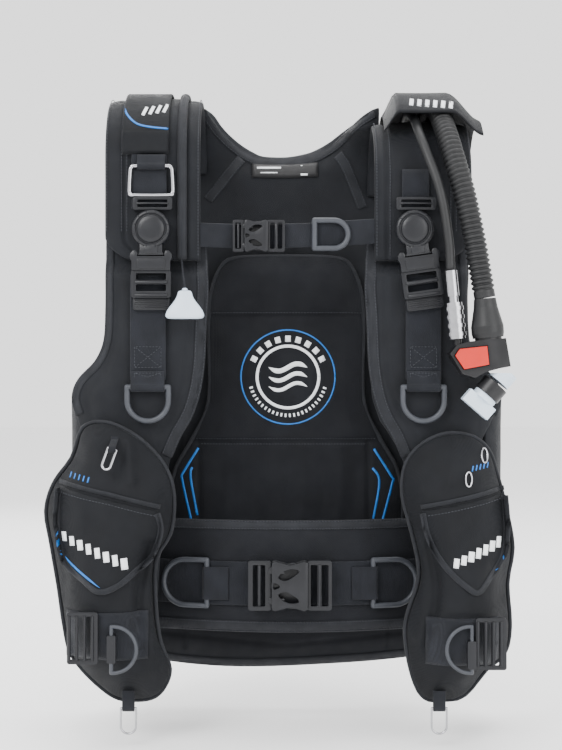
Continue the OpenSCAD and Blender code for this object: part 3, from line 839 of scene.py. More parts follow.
BACK_OUTLINE = mm((-188, -292), (-139, -309), (-54, -316), (60, -312), (146, -304),
                  (188, -292), (188, 20), (171, 60), (164, 110), (170, 170),
                  (188, 215), (195, 243), (104, 243), (105, 332), (98, 329), (90, 324),
                  (74, 313), (57, 301), (40, 292), (25, 287), (0, 283), (-30, 283),
                  (-45, 289), (-60, 298), (-74, 309), (-86, 322), (-93, 332),
                  (-102, 335), (-102, 268), (-194, 268), (-188, 225), (-170, 180),
                  (-164, 110), (-171, 60), (-188, 20))
WING_LEFT = mm((-194, 176), (-194, 100), (-196, 66), (-206, 40), (-226, 22), (-233, 4),
               (-230, -16), (-221, -40), (-231, -80), (-242, -130), (-235, -200),
               (-223, -260), (-189, -298), (-150, -298), (-135, -270), (-138, -215),
               (-133, -165), (-125, -120), (-125, -70), (-114, -40), (-102, -19),
               (-94, 6), (-89, 40), (-87, 84), (-85, 118), (-93, 176))
WING_RIGHT = mm((198, 176), (197, 100), (199, 60), (207, 36), (225, 16), (230, 0),
                (225, -20), (211, -46), (221, -80), (233, -130), (228, -200),
                (221, -255), (185, -298), (150, -298), (137, -262), (139, -190),
                (133, -140), (125, -70), (114, -46), (97, -20), (89, 6), (87, 56),
                (85, 99), (91, 176))
POCKET_LEFT = mm((-217, -29), (-196, -23), (-172, -31), (-149, -47), (-129, -71),
                 (-120, -100), (-123, -140), (-139, -170), (-139, -222), (-134, -258),
                 (-124, -288), (-138, -315), (-165, -320), (-190, -313), (-227, -276),
                 (-237, -245), (-244, -200), (-253, -150), (-258, -118), (-249, -88),
                 (-229, -61))
POCKET_RIGHT = mm((199, -39), (172, -35), (146, -45), (127, -67), (123, -100),
                  (133, -140), (141, -185), (129, -225), (126, -250), (133, -290),
                  (146, -317), (167, -320), (190, -315), (213, -287), (233, -270),
                  (239, -240), (236, -195), (242, -158), (235, -118), (223, -74),
                  (215, -53))
FLAP_LEFT = mm((-243, -89), (-188, -102), (-133, -116), (-129, -136), (-139, -165),
               (-155, -180), (-175, -196), (-196, -202), (-214, -190), (-239, -166),
               (-245, -128))
FLAP_RIGHT = mm((140, -116), (186, -106), (232, -97), (235, -128), (232, -160),
                (216, -185), (201, -203), (187, -197), (168, -181), (153, -160),
                (144, -138))
PAD_HALF = mm((20, 167), (59, 165), (77, 154), (88, 125), (92, 83), (92, -2),
              (110, -48), (129, -80), (137, -116), (135, -150), (129, -199))
PAD_OUTLINE = PAD_HALF + mirror_x(PAD_HALF)


def wing_bend(p):
    """Tucks the wing's top behind the strap and curves its outer edge back."""
    tuck = soft_step(p[:, 2], 0.132, 0.150)
    mid = FRONT_Y + 9.5 * MM
    y = mid + (p[:, 1] - mid) * (1 - 0.5 * tuck) + 9.5 * MM * tuck
    y += 9 * MM * soft_step(np.abs(p[:, 0]), 0.196, 0.245)
    return np.stack([p[:, 0], y, p[:, 2]], 1)


def back_bend(p):
    """Leans the collar's corners forward, to meet the crests of the straps."""
    x, z = p[:, 0], p[:, 2]
    centre = np.where(x < 0, ARCH_Z["left"], ARCH_Z["right"])
    rise = np.clip((z - centre) / (68 * MM), 0, 0.995)
    arch = ARCH_Y + 68 * MM * np.sqrt(1 - rise ** 2)
    share = soft_step(np.abs(x), 0.048, 0.090) * soft_step(z - centre, -0.01, 0.03)
    mid = (PANEL_FRONT_Y + PANEL_BACK_Y) / 2
    y = mid + (p[:, 1] - mid) * (1 - 0.6 * share) + (arch - mid) * share
    return np.stack([x, y, z], 1)


def pocket_bend(p):
    """Rounds the pocket's outer side towards the diver's flank."""
    y = p[:, 1] + 12 * MM * soft_step(np.abs(p[:, 0]), 0.205, 0.262)
    y += 6 * MM * soft_step(-p[:, 2], 0.255, 0.322)
    return np.stack([p[:, 0], y, p[:, 2]], 1)


def belt_bend(p):
    """Wraps a flat panel, drawn along its arc, round the belt's circle."""
    angle = (p[:, 0] - BELT_C.x) / BELT_R
    r = BELT_R - p[:, 1]
    return np.stack([BELT_C.x + r * np.sin(angle), BELT_C.y - r * np.cos(angle), p[:, 2]],
                    1)


SIDE_LINE = evenly(curve(mm((184, -119), (197, -119.6), (209, -122), (224.5, -147),
                            (232, -190), (228.5, -225), (219, -249), (212, -257)), 8),
                   2 * MM)


def side_bend(sign):
    """Lays a flat panel along the curved line of the flank."""
    line = np.array([list(q) for q in SIDE_LINE])
    run = np.concatenate([[0], np.cumsum(np.linalg.norm(np.diff(line, axis=0), axis=1))])
    heading = np.gradient(line, run, axis=0)
    heading /= np.linalg.norm(heading, axis=1)[:, None]

    def bend(p):
        at = p[:, 0]
        x, y = (np.interp(at, run, line[:, i]) for i in (0, 1))
        hx, hy = (np.interp(at, run, heading[:, i]) for i in (0, 1))
        out = p[:, 1]
        return np.stack([sign * (x - hy * out), y + hx * out, p[:, 2]], 1)
    return bend, run[-1]


def drape_on(skin, gap):
    """Lays a flap on the surface behind it."""
    def bend(p):
        q = p.copy()
        for i, v in enumerate(p):
            face = on_front([skin], v[0], v[2], 0).y
            q[i, 1] = face - gap + (v[1] - POCKET_Y)
        return q
    return bend


def pair(side, left, right):
    return left if side == "left" else right


def make_padding():
    """The large soft panels, simulated together, and the flaps laid on them."""
    panels = {}
    panels["back"] = Panel(
        "back_shell", BACK_OUTLINE, PANEL_FRONT_Y, PANEL_BACK_Y, "shell",
        ["back_panel"], "shell_fabric", 0.35, 0.03,
        seams=[(mm((-118, 215), (-122, 60), (-118, -290)), 0.16, 2.4 * MM),
               (mm((118, 205), (122, 60), (118, -290)), 0.16, 2.4 * MM),
               (mm((-186, -268), (0, -288), (186, -268)), 0.12, 2.4 * MM)],
        bend=back_bend)
    for side, outline in (("left", WING_LEFT), ("right", WING_RIGHT)):
        sign = pair(side, -1, 1)
        seam = mm((sign * 106, 130), (sign * 106, 60), (sign * 110, 20),
                  (sign * 124, -14), (sign * 140, -38))
        low = mm((sign * 128, -104), (sign * 142, -160), (sign * 146, -270))
        out = mm((sign * 180, 120), (sign * 183, 62), (sign * 196, 28),
                 (sign * 212, 2), (sign * 206, -30))
        panels["wing_" + side] = Panel(
            "wing_" + side, outline, FRONT_Y, FRONT_Y + 19 * MM, "shell",
            ["front_wing_" + side], "shell_fabric", 0.38, 0.026,
            seams=[(curve(seam, 6), 0.13, 2.6 * MM), (curve(low, 5), 0.13, 2.6 * MM),
                   (curve(out, 6), 0.09, 2.6 * MM)],
            folds=[(mm((sign * 196, 30), (sign * 150, -6)), 0.07, 6 * MM)],
            bend=wing_bend, wrinkle=1.5 * MM)
        bend, run = side_bend(sign)
        flank = [Vector((a, z * MM)) for a, z in
                 ((0, -290), (run, -290), (run, -60), (run, 18), (run * 0.8, 21),
                  (run * 0.2, 21), (0, 18), (0, -60))]
        panels["side_" + side] = Panel(
            "flank_" + side, flank, -7.5 * MM, 7.5 * MM, "shell",
            ["side_panel_" + side], "shell_fabric", 0.4, 0.02,
            seams=[([Vector((run * 0.5, -280 * MM)), Vector((run * 0.5, 15 * MM))], 0.14,
                    2.5 * MM)], bend=bend, wrinkle=1.2 * MM, fill=0.4)
        if side == "left":
            seams = [(mm((-241, -87), (-188, -99), (-133, -113)), 0.05, 2.2 * MM),
                     (curve(mm((-144, -150), (-156, -205), (-152, -262)), 6), 0.16,
                      4 * MM),
                     (mm((-228, -231), (-186, -224), (-142, -224)), 0.05, 3 * MM)]
            folds = [(mm((-166, -46), (-162, -84)), 0.10, 5 * MM),
                     (mm((-172, -48), (-177, -80)), -0.07, 4 * MM),
                     (curve(mm((-140, -180), (-145, -215), (-139, -270)), 6), 0.10,
                      5 * MM)]
        else:
            seams = [(mm((142, -113), (186, -103), (230, -94)), 0.05, 2.2 * MM),
                     (curve(mm((150, -150), (158, -200), (146, -262)), 6), 0.14, 4 * MM),
                     (mm((232, -231), (190, -226), (140, -228)), 0.05, 3 * MM)]
            folds = [(mm((176, -42), (170, -84)), 0.06, 6 * MM),
                     (curve(mm((146, -180), (144, -210), (136, -250)), 6), 0.08, 5 * MM)]
        panels["pocket_" + side] = Panel(
            "pocket_skin_" + side, curve(pair(side, POCKET_LEFT, POCKET_RIGHT), 3, True),
            POCKET_Y, POCKET_Y + 42 * MM, "pocket", ["pocket_" + side],
            "pocket_fabric", 0.32, 0.05, 0.9, seams, folds, pocket_bend, 1.6 * MM,
            fill=0.55, puff=8 * MM)
    panels["pad"] = Panel(
        "back_cushion", PAD_OUTLINE, -160 * MM, PANEL_FRONT_Y - 0.3 * MM, "pad",
        ["back_pad"], "pad_fabric", 0.42, 0.026,
        seams=[(mm((-93, 96), (93, 96)), 0.20, 2.2 * MM),
               (mm((-112, -49), (112, -49)), 0.24, 2.4 * MM),
               (mm((-101, -49), (-100, -140), (-99, -199)), 0.20, 2.6 * MM),
               (mm((94, -49), (95, -140), (96, -199)), 0.20, 2.6 * MM)],
        folds=[(mm((x, -58), (x + 3, -95), (x - 2, -135)), h, 6 * MM)
               for x, h in ((-68, 0.10), (-48, -0.08), (-24, 0.07), (-4, -0.09),
                            (20, 0.09), (41, -0.10), (62, 0.11), (78, -0.06))],
        wrinkle=1.1 * MM, fill=0.7)
    low, high = (BELT_R * math.asin((x * MM - BELT_C.x) / BELT_R) + BELT_C.x
                 for x in (-211, 214))
    band = [Vector((a, z * MM)) for a, z in
            ((low, -252), (low * 0.8, -257), (high * 0.8, -257), (high, -252),
             (high, -136), (high * 0.8, -132), (low * 0.8, -132), (low, -136))]
    panels["belt"] = Panel(
        "cummerbund_skin", band, 0.0, 8 * MM, "pad", ["cummerbund"], "pad_fabric",
        0.5, 0.012,
        seams=[([Vector((low, -143.5 * MM)), Vector((high, -143.5 * MM))], 0.22, 2 * MM),
               ([Vector((low, -241 * MM)), Vector((high, -241 * MM))], 0.22, 2 * MM)],
        bend=belt_bend, wrinkle=0.9 * MM, fill=0.4, puff=3 * MM)
    simulate(list(panels.values()))
    for panel in panels.values():
        panel.shape()
    flaps = []
    for side, outline in (("left", FLAP_LEFT), ("right", FLAP_RIGHT)):
        skin = panels["pocket_" + side].skin
        flap = Panel("flap_" + side, outline, POCKET_Y - 4 * MM, POCKET_Y, "pocket",
                     ["pocket_flap_" + side], "pocket_fabric", 0.6, 0.008, 0.9,
                     bend=drape_on(skin, 0.8 * MM), wrinkle=0.7 * MM,
                     body="pocket_flap_" + side, fill=0.2, voxel=0.004, puff=2 * MM)
        panels["flap_" + side] = flap
        flaps.append(flap)
    simulate(flaps)
    for flap in flaps:
        flap.shape()
    return panels


# ---------------------------------------------------------------- trim and prints

def trim(name, skins, line, width, thick, material, slot, body="root", steps=6,
         back=False, sewn=0.0):
    """A strip along a smooth line, with stitching near both sides if sewn."""
    path = evenly(curve(line, steps), 4 * MM)
    flat = [Vector((q[0], q[1])) for q in path]
    made = piece(name, *tape(skins, flat, width, thick, 4, back), material,
                 body=body, slot=slot)
    if sewn:
        parts = []
        for sign in (-1, 1):
            shifted = []
            for i, q in enumerate(flat):
                along = (flat[min(i + 1, len(flat) - 1)] - flat[max(i - 1, 0)])
                along.normalize()
                shifted.append(q + Vector((-along.y, along.x)) * sign * sewn)
            parts.append(stitches([skin_of(made)] + list(skins), shifted, back))
        piece(name + "_stitches", *join_parts(parts), "thread", body=body, slot=slot)
    return made


def marks(name, skins, start, step, lean, sizes, material, slot, body="root"):
    """A row of plain slanted bars, each (width, height), where a print sits."""
    parts = []
    at = Vector(start)
    up = Vector(lean)
    for width, height in sizes:
        line = [at + up * (height * t) for t in (0, 0.33, 0.66, 1)]
        parts.append(tape(skins, line, width, 0.25 * MM, 2))
        at = at + Vector(step)
    return piece(name, *join_parts(parts), material, body=body, slot=slot)


def circle(cx, cz, r, a0=0.0, a1=2 * math.pi, n=72):
    return [Vector((cx + r * math.cos(a), cz + r * math.sin(a)))
            for a in np.linspace(a0, a1, n)]


def make_trim(panels):
    """Bindings, stitching, piping, labels and plain printed marks."""
    back, pad, belt = (panels[name].skin for name in ("back", "pad", "belt"))
    neck = mm((-97, 329), (-89, 324), (-81, 313), (-70, 302), (-56, 291), (-42, 282.5),
              (-28, 277), (0, 276), (24, 280), (38, 285), (54, 294), (71, 306),
              (86, 316), (99, 323))
    trim("neck_binding", [back], neck, 14 * MM, 1.4 * MM, "tape", "shell_fabric",
         sewn=5.4 * MM)
    trim("yoke_tape_left", [back], mm((-52, 280), (-70, 258), (-91, 231)), 12 * MM,
         BINDING, "tape", "shell_fabric", sewn=4.4 * MM)
    trim("yoke_tape_right", [back], mm((60, 284), (69, 271), (80, 246), (89, 222)),
         12 * MM, BINDING, "tape", "shell_fabric", sewn=4.4 * MM)
    hem = mm((-184, -287), (-139, -303), (-54, -310), (60, -306), (146, -298),
             (184, -287))
    for face in (False, True):
        trim("hem_binding_" + ("back" if face else "front"), [back], hem, 11 * MM,
             BINDING, "tape", "shell_fabric", back=face)
    for sign, side in ((-1, "left"), (1, "right")):
        flank = sided(sign, (183, 16), (168, 60), (160, 110), (166, 168), (184, 212))
        trim("arm_binding_" + side, [back], flank, 10 * MM, BINDING, "tape",
             "shell_fabric")
        trim("arm_binding_back_" + side, [back], flank, 10 * MM, BINDING, "tape",
             "shell_fabric", back=True)
        wing = panels["wing_" + side].skin
        inner = sided(sign, (93, 172), (91, 140), (90, 118), (92, 84), (94, 40), (99, 8),
                      (107, -16), (119, -37), (129, -60))
        trim("wing_edge_" + side, [wing], inner, 12 * MM, 1.4 * MM, "tape",
             "shell_fabric", sewn=4.6 * MM)
        outer = sided(sign, (191, 172), (191, 140), (191, 100), (193, 64), (203, 40),
                      (222, 20), (228, 2), (223, -16))
        trim("wing_rim_" + side, [wing], outer, 9 * MM, BINDING, "tape",
             "shell_fabric")
    rim = curve(mm((-133, -150), (-134, -116), (-127, -80), (-108, -46), (-89, -2),
                   (-89, 83), (-86, 124), (-75, 152), (-58, 162), (0, 164), (58, 162),
                   (75, 152), (86, 124), (89, 83), (89, -2), (108, -46), (127, -80),
                   (134, -116), (133, -150)), 4)
    piece("pad_piping", *swept(
        [panel_edge(panels["pad"], q) + Vector((0, -1.5 * MM, 0))
         for q in evenly(rim, 5 * MM)], Vector((0, 1, 0)), oval(2.6 * MM, 2.6 * MM, 10)),
        "tape", slot="pad_fabric")
    for name, line in (("pad_seam_top", mm((-88, 98.6), (88, 98.6))),
                       ("pad_seam_mid", mm((-104, -46.2), (104, -46.2))),
                       ("pad_seam_low", mm((-98, -52.2), (92, -52.2)))):
        piece(name, *stitches([pad], line), "thread", slot="pad_fabric")
    for side, first, second in (
            ("left", mm((-101, -57), (-119, -86), (-120, -92), (-109, -140)),
             mm((-108, -79), (-110, -90), (-102, -134))),
            ("right", mm((101, -58), (122, -91), (122.5, -96), (110, -142)),
             mm((99, -80), (107, -95), (100, -138)))):
        parts = [tape([pad], evenly(curve(line, 5), 4 * MM), 2.6 * MM, PRINT, 2)
                 for line in (first, second)]
        piece("pad_chevron_" + side, *join_parts(parts), "blue", slot="pad_fabric")
    ring = [tape([pad], circle(2 * MM, 24.7 * MM, 54 * MM), 1.7 * MM, PRINT, 2)]
    piece("emblem_outer_ring", *join_parts(ring), "blue", slot="pad_fabric")
    white = [tape([pad], circle(2 * MM, 24.7 * MM, 35.5 * MM), 3.4 * MM, PRINT, 2)]
    centre = Vector((2 * MM, 24.7 * MM))
    for i in range(3):
        x = np.linspace(-22, 22, 19)
        wave = [centre + Vector((a * MM, (11 - 11 * i + 4.2 * math.sin(a / 7)) * MM))
                for a in x]
        white.append(tape([pad], wave, (5.4 - 0.6 * i) * MM, PRINT, 2,
                          end_taper=True))
    for i in range(9):
        a = math.radians(152 - 15.5 * i)
        d = Vector((math.cos(a), math.sin(a)))
        white.append(tape([pad], [centre + d * (r * MM) for r in (40.5, 44, 47.5)],
                          6.4 * MM, PRINT, 2))
    for i in range(24):
        a = math.radians(196 + 6.4 * i)
        d = Vector((math.cos(a), math.sin(a)))
        white.append(tape([pad], [centre + d * (r * MM) for r in (42, 44, 46)],
                          2.2 * MM, PRINT, 2))
    piece("emblem_waves", *join_parts(white), "white", slot="pad_fabric")
    edge = mm((-200, -137.5), (0, -137.5), (206, -137.5))
    trim("belt_binding_top", [belt], edge, 10 * MM, BINDING, "tape", "pad_fabric",
         sewn=3.8 * MM)
    edge = mm((-200, -249), (0, -249), (206, -249))
    trim("belt_binding_low", [belt], edge, 13 * MM, 1.0 * MM, "tape", "pad_fabric",
         sewn=5.2 * MM)
    make_pocket_trim(panels)
    label = mm((-40, 266), (-20, 265.6), (0, 265.6), (18, 266), (37, 266.6))
    trim("size_label", [back], label, 18 * MM, 2.2 * MM, "label", "shell_fabric")
    front = [skin_of(bpy.data.objects["size_label"])]
    parts = [tape(front, mm((18, 272), (18, 260.6)), 2.2 * MM, PRINT, 2),
             tape(front, mm((17, 260.6), (25, 260.6)), 2.2 * MM, PRINT, 2),
             tape(front, mm((-34, 269), (-6, 269)), 2.4 * MM, PRINT, 2),
             tape(front, mm((-30, 263), (-10, 263)), BINDING, PRINT, 2)]
    piece("size_mark", *join_parts(parts), "white", slot="shell_fabric")


def make_pocket_trim(panels):
    """Flap bindings, seams, piping and printed marks of the two pockets."""
    for side in ("left", "right"):
        flap, skin = panels["flap_" + side], panels["pocket_" + side].skin
        outline = pair(side, FLAP_LEFT, FLAP_RIGHT)
        lower = outline[2:] + outline[:1]
        middle = Vector((0, 0))
        for q in lower:
            middle += q / len(lower)
        inset = [q + (middle - q).normalized() * 3.4 * MM for q in lower]
        trim("flap_rim_" + side, [flap.skin], inset, 6.5 * MM, 1.0 * MM, "tape",
             "pocket_fabric", body="pocket_flap_" + side, steps=5)
        top = pair(side, mm((-242, -85.5), (-188, -97), (-133, -112)),
                   mm((141, -112), (186, -102), (231, -92.5)))
        trim("flap_seam_" + side, [skin], top, 5 * MM, 1.6 * MM, "tape", "pocket_fabric")
        below = [q + Vector((0, -9 * MM)) for q in top]
        piece("flap_seam_stitches_" + side,
              *stitches([flap.skin], [q + Vector((0, -1 * MM)) for q in below]),
              "thread", body="pocket_flap_" + side, slot="pocket_fabric")
        rim = evenly(curve(pair(side, POCKET_LEFT, POCKET_RIGHT), 3, True), 5 * MM, True)
        edge = [panel_edge(panels["pocket_" + side], q) for q in rim]
        piece("pocket_piping_" + side,
              *swept(edge, Vector((0, 1, 0)), oval(2.4 * MM, 2.4 * MM, 8), True),
              "tape", slot="pocket_fabric")
    for side, line in (("left", mm((-240, -117), (-241, -150), (-236, -162), (-194, -194))),
                       ("right", mm((231, -146), (228, -163), (206, -194)))):
        parts = [tape([panels["flap_" + side].skin], evenly(curve(line, 6), 4 * MM),
                      2.6 * MM, PRINT, 2, end_taper=True)]
        piece("flap_line_" + side, *join_parts(parts), "blue",
              body="pocket_flap_" + side, slot="pocket_fabric")
    sizes = [(5.4 * MM, 10 * MM), (5.4 * MM, 10 * MM), (6.2 * MM, 10.6 * MM),
             (5.4 * MM, 11 * MM), (5.4 * MM, 11 * MM), (6.2 * MM, 11 * MM),
             (5.4 * MM, 11.6 * MM), (6.6 * MM, 12 * MM)]
    marks("flap_marks_left", [panels["flap_left"].skin], mm((-233, -147))[0],
          mm((9.2, -4.1))[0], Vector((-0.10, 0.99)), sizes, "white", "pocket_fabric",
          "pocket_flap_left")
    marks("flap_marks_right", [panels["flap_right"].skin], mm((176, -174))[0],
          mm((7.6, 3.4))[0], Vector((0.12, 0.99)), sizes[:7], "white", "pocket_fabric",
          "pocket_flap_right")
    for side, hinge, down in (("left", (-243, -88), (-0.247, -0.969)),
                              ("right", (140, -116), (0.2125, -0.977))):
        start = Vector((hinge[0] * MM, POCKET_Y, hinge[1] * MM))
        end = start + Vector((down[0], 0, down[1])) * 14 * MM
        for name in ("flap_", "flap_rim_", "flap_seam_stitches_"):
            bend_at_hinge(name + side, "pocket_flap_" + side, start, end)
    small = [(1.5 * MM, 6 * MM)] * 5
    marks("pocket_mark_left", [panels["pocket_left"].skin], mm((-229, -81))[0],
          mm((5.2, -1.1))[0], Vector((0.25, 0.96)), small, "blue", "pocket_fabric")
    marks("pocket_mark_right", [panels["pocket_right"].skin], mm((194, -74))[0],
          mm((4.4, 0.8))[0], Vector((0.25, 0.96)), small, "blue", "pocket_fabric")


# ---------------------------------------------------------------- webbing

def flat_path(x, y, z0, z1, step=5 * MM):
    n = max(3, int(abs(z1 - z0) / step))
    return [Vector((x, y, z)) for z in np.linspace(z0, z1, n + 1)]


def stitch_box(name, centre, across, up, width, height, body="root", slot="webbing"):
    """A sewn rectangle with a cross in it, laid flat on webbing."""
    c, a, u = Vector(centre), Vector(across) * width / 2, Vector(up) * height / 2
    corners = [c - a - u, c + a - u, c + a + u, c - a + u]
    out = Vector(up).cross(Vector(across))
    parts = []
    for p, q in ((0, 1), (1, 2), (2, 3), (3, 0), (0, 2), (1, 3)):
        line = [corners[p], corners[q]]
        parts.append(stitch_path(line, out.cross(corners[q] - corners[p])))
    return piece(name, *join_parts(parts), "thread", body=body, slot=slot)


def ring_loop(x, bar_y, bar_z, r, width, top_z, back_y):
    """A strip that runs down, round a ring's bar from the front, and up behind it."""
    c = r + 1.2 * MM
    path = [Vector((x, back_y - 1.6 * MM, top_z)),
            Vector((x, back_y - 2.2 * MM, (top_z + bar_z) / 2 + 3 * MM))]
    for a in np.linspace(30, 250, 12):
        t = math.radians(a)
        path.append(Vector((x, bar_y - c * math.sin(t), bar_z + c * math.cos(t))))
    return swept(evenly(path, 1.6 * MM), Vector((-1, 0, 0)),
                 band_profile(width, 1.8 * MM, 9))


def make_webbing():
    # Shoulder webbing above the slides, from under the epaulet
    chest = {"left": (-147 * MM, SHOULDER_WEBBING), "right": (138 * MM, 29 * MM)}
    for side, (x, width) in chest.items():
        offset = 3.2 * MM
        start = pair(side, 158, 172)
        path = at_x(shoulder_path(side, offset, 204.5 * MM, start), x)
        profile = band_profile(width, 2 * MM, SHOULDER_RIBS)
        parts = [swept(path, Vector((-1, 0, 0)), profile)]
        if side == "left":
            parts.append(ring_loop(x + 2.5 * MM, -276 * MM, 250 * MM, 2 * MM, 30 * MM,
                                   262 * MM, -274 * MM))
        piece("chest_webbing_" + side, *join_parts(parts), "webbing",
              replaces=["upper_webbing_" + side], slot="webbing")
    # Shoulder webbing below the buckles, and its loop round the D-ring
    for side, x in (("left", -148 * MM), ("right", 146 * MM)):
        y = -275 * MM
        path = flat_path(x, y, 134 * MM, 22 * MM)
        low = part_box("chest_d_ring_" + side)
        bar_y = (low[0].y + low[1].y) / 2
        bar_z = low[1].z - 3 * MM
        profile = band_profile(SHOULDER_WEBBING, 2 * MM, SHOULDER_RIBS)
        parts = [swept(path, Vector((-1, 0, 0)), profile),
                 ring_loop(x, bar_y, bar_z, 3.1 * MM, 36 * MM, 31 * MM, -275.5 * MM)]
        piece("ring_webbing_" + side, *join_parts(parts), "webbing",
              replaces=["lower_webbing_" + side], slot="webbing")
        stitch_box("ring_stitches_" + side, (x, -278.4 * MM, 25 * MM), (1, 0, 0),
                   (0, 0, 1), 28 * MM, 8 * MM)
        stitch_box("upper_stitches_" + side, (x, -276.3 * MM, 46 * MM), (1, 0, 0),
                   (0, 0, 1), 28 * MM, 22 * MM)
    # Chest strap
    def cross(x0, x1, y0, y1, z0, z1, width):
        n = 12
        pts = [Vector((x0 + (x1 - x0) * t, y0 + (y1 - y0) * t, z0 + (z1 - z0) * t))
               for t in np.linspace(0, 1, n)]
        return swept(pts, Vector((0, 0, 1)), band_profile(width, 1.8 * MM, 8))
    z = 178 * MM
    parts = [cross(-97 * MM, -44 * MM, -262 * MM, -264 * MM, z, z - 2 * MM, 26 * MM),
             cross(-20 * MM, 34 * MM, -264 * MM, -262 * MM, z - 2 * MM, z, 26 * MM),
             cross(30 * MM, 100 * MM, -261.6 * MM, -262 * MM, z, z + 4 * MM, 27 * MM)]
    piece("chest_strap_webbing", *join_parts(parts), "webbing",
          replaces=["sternum_webbing"], slot="webbing")
    # Waist belt, round the belt's circle
    z = (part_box("waist_webbing")[0].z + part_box("waist_webbing")[1].z) / 2
    r = BELT_R + 3 * MM
    parts = []
    for x0, x1 in ((-190, -18), (26, 190)):
        a0, a1 = (math.asin((x * MM - BELT_C.x) / r) for x in (x0, x1))
        path = [Vector((BELT_C.x + r * math.sin(a), BELT_C.y - r * math.cos(a), z))
                for a in np.linspace(a0, a1, 44)]
        parts.append(swept(path, Vector((0, 0, 1)), band_profile(48 * MM, 2 * MM, 15)))
    for sign in (-1, 1):
        a = math.radians(15.5) * sign
        out = Vector((math.sin(a), -math.cos(a), 0))
        along = Vector((math.cos(a), math.sin(a), 0)) * -sign
        bar = Vector((BELT_C.x, BELT_C.y, z)) + out * (BELT_R + 7 * MM)
        path = [bar + along * 24 * MM - out * 2.2 * MM,
                bar + along * 14 * MM - out * 1.2 * MM,
                bar + along * 8 * MM + out * 1.6 * MM]
        for t in np.linspace(math.radians(20), math.radians(200), 10):
            path.append(bar + out * (4.3 * MM * math.cos(t))
                        - along * (4.3 * MM * math.sin(t)))
        parts.append(swept(evenly(path, 1.6 * MM), Vector((0, 0, 1)),
                           band_profile(36 * MM, 1.8 * MM, 11)))
    piece("belt_webbing", *join_parts(parts), "webbing", replaces=["waist_webbing"],
          slot="webbing")
    # Tank band
    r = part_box("tank_band")[1].x - 1.5 * MM
    path = [Vector((r * math.cos(a), r * math.sin(a), 0))
            for a in np.linspace(0, 2 * math.pi, 121)[:-1]]
    profile = band_profile(50 * MM, 3 * MM, 15)
    piece("tank_webbing", *swept(path, Vector((0, 0, 1)), profile, True), "webbing",
          replaces=["tank_band"], slot="webbing")


def make_shoulders(straps):
    """The epaulet on one shoulder and the flap over the hoses on the other."""
    path = at_x(shoulder_path("left", 2.6 * MM, 288 * MM, 62), -151 * MM)
    cover = piece("epaulet", *swept(path, Vector((-1, 0, 0)),
                                    band_profile(50 * MM, 3.4 * MM)),
                  "pocket", slot="shell_fabric")
    skins = [skin_of(cover), straps["left"]]
    line = mm((-177, 321), (-172, 308), (-161, 297), (-146, 293), (-127, 291))
    parts = [tape(skins, evenly(curve(line, 5), 3 * MM), 2.2 * MM, 0.4 * MM, 2)]
    piece("epaulet_line", *join_parts(parts), "blue", slot="shell_fabric")
    sizes = [(3.6 * MM, 11 * MM)] * 4
    marks("epaulet_marks", skins, mm((-155, 307))[0], mm((7.4, 1.2))[0],
          Vector((0.35, 0.94)), sizes, "white", "shell_fabric")

    # Flap over the hoses: a curved, slightly wavy sheet with a bound edge
    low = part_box("hose_flap")[0].x - 2 * MM
    wide = 108 * MM
    centre_z = ARCH_Z["right"]
    rows, columns = 48, 30
    outer, inner = [], []
    for i in range(rows):
        a = math.radians(133 + 93 * i / (rows - 1) - 90)
        for j in range(columns):
            s = j / (columns - 1)
            x = low + wide * s
            near, far = (float(soft_step(np.array(x), q * MM, w * MM))
                         for q, w in ((104, 121), (176, 215)))
            r = (104.3 - 26 * (1 - near) - 30 * far) * MM
            r += 0.9 * MM * noise.noise(Vector((x * 30, a * 5, 1.7)))
            edge = min(s * 108, (1 - s) * 108, i * 3.8, (rows - 1 - i) * 3.8)
            half = (1.0 + 0.7 * min(1.0, edge / 5) - 0.35 * math.exp(
                -((edge - 7) / 1.4) ** 2)) * MM
            y, z = math.cos(a), math.sin(a)
            outer.append(Vector((x, ARCH_Y + (r + half) * y, centre_z + (r + half) * z)))
            inner.append(Vector((x, ARCH_Y + (r - half) * y, centre_z + (r - half) * z)))
    m = len(outer)
    faces = grid_faces(rows, columns)
    faces += [[i + m for i in reversed(f)] for f in grid_faces(rows, columns)]
    for i in range(rows - 1):
        a, b = i * columns, i * columns + columns - 1
        faces += [[a, a + m, a + columns + m, a + columns],
                  [b, b + columns, b + columns + m, b + m]]
    for j in range(columns - 1):
        e = (rows - 1) * columns + j
        faces += [[j, j + 1, j + 1 + m, j + m], [e, e + m, e + 1 + m, e + 1]]
    flap = piece("hose_cover", outer + inner, faces, "pocket", body="hose_flap",
                 replaces=["hose_flap"], slot="pocket_fabric")
    marks("hose_cover_marks", [skin_of(flap)], mm((134, 317))[0], mm((8.4, -0.8))[0],
          Vector((0.2, 0.97)), [(4.4 * MM, 10 * MM)] * 6, "white", "pocket_fabric",
          "hose_flap")
    bend_at_hinge("hose_cover", "hose_flap", (107 * MM, ARCH_Y, centre_z),
                  (124 * MM, ARCH_Y, centre_z))


# ---------------------------------------------------------------- hard pieces

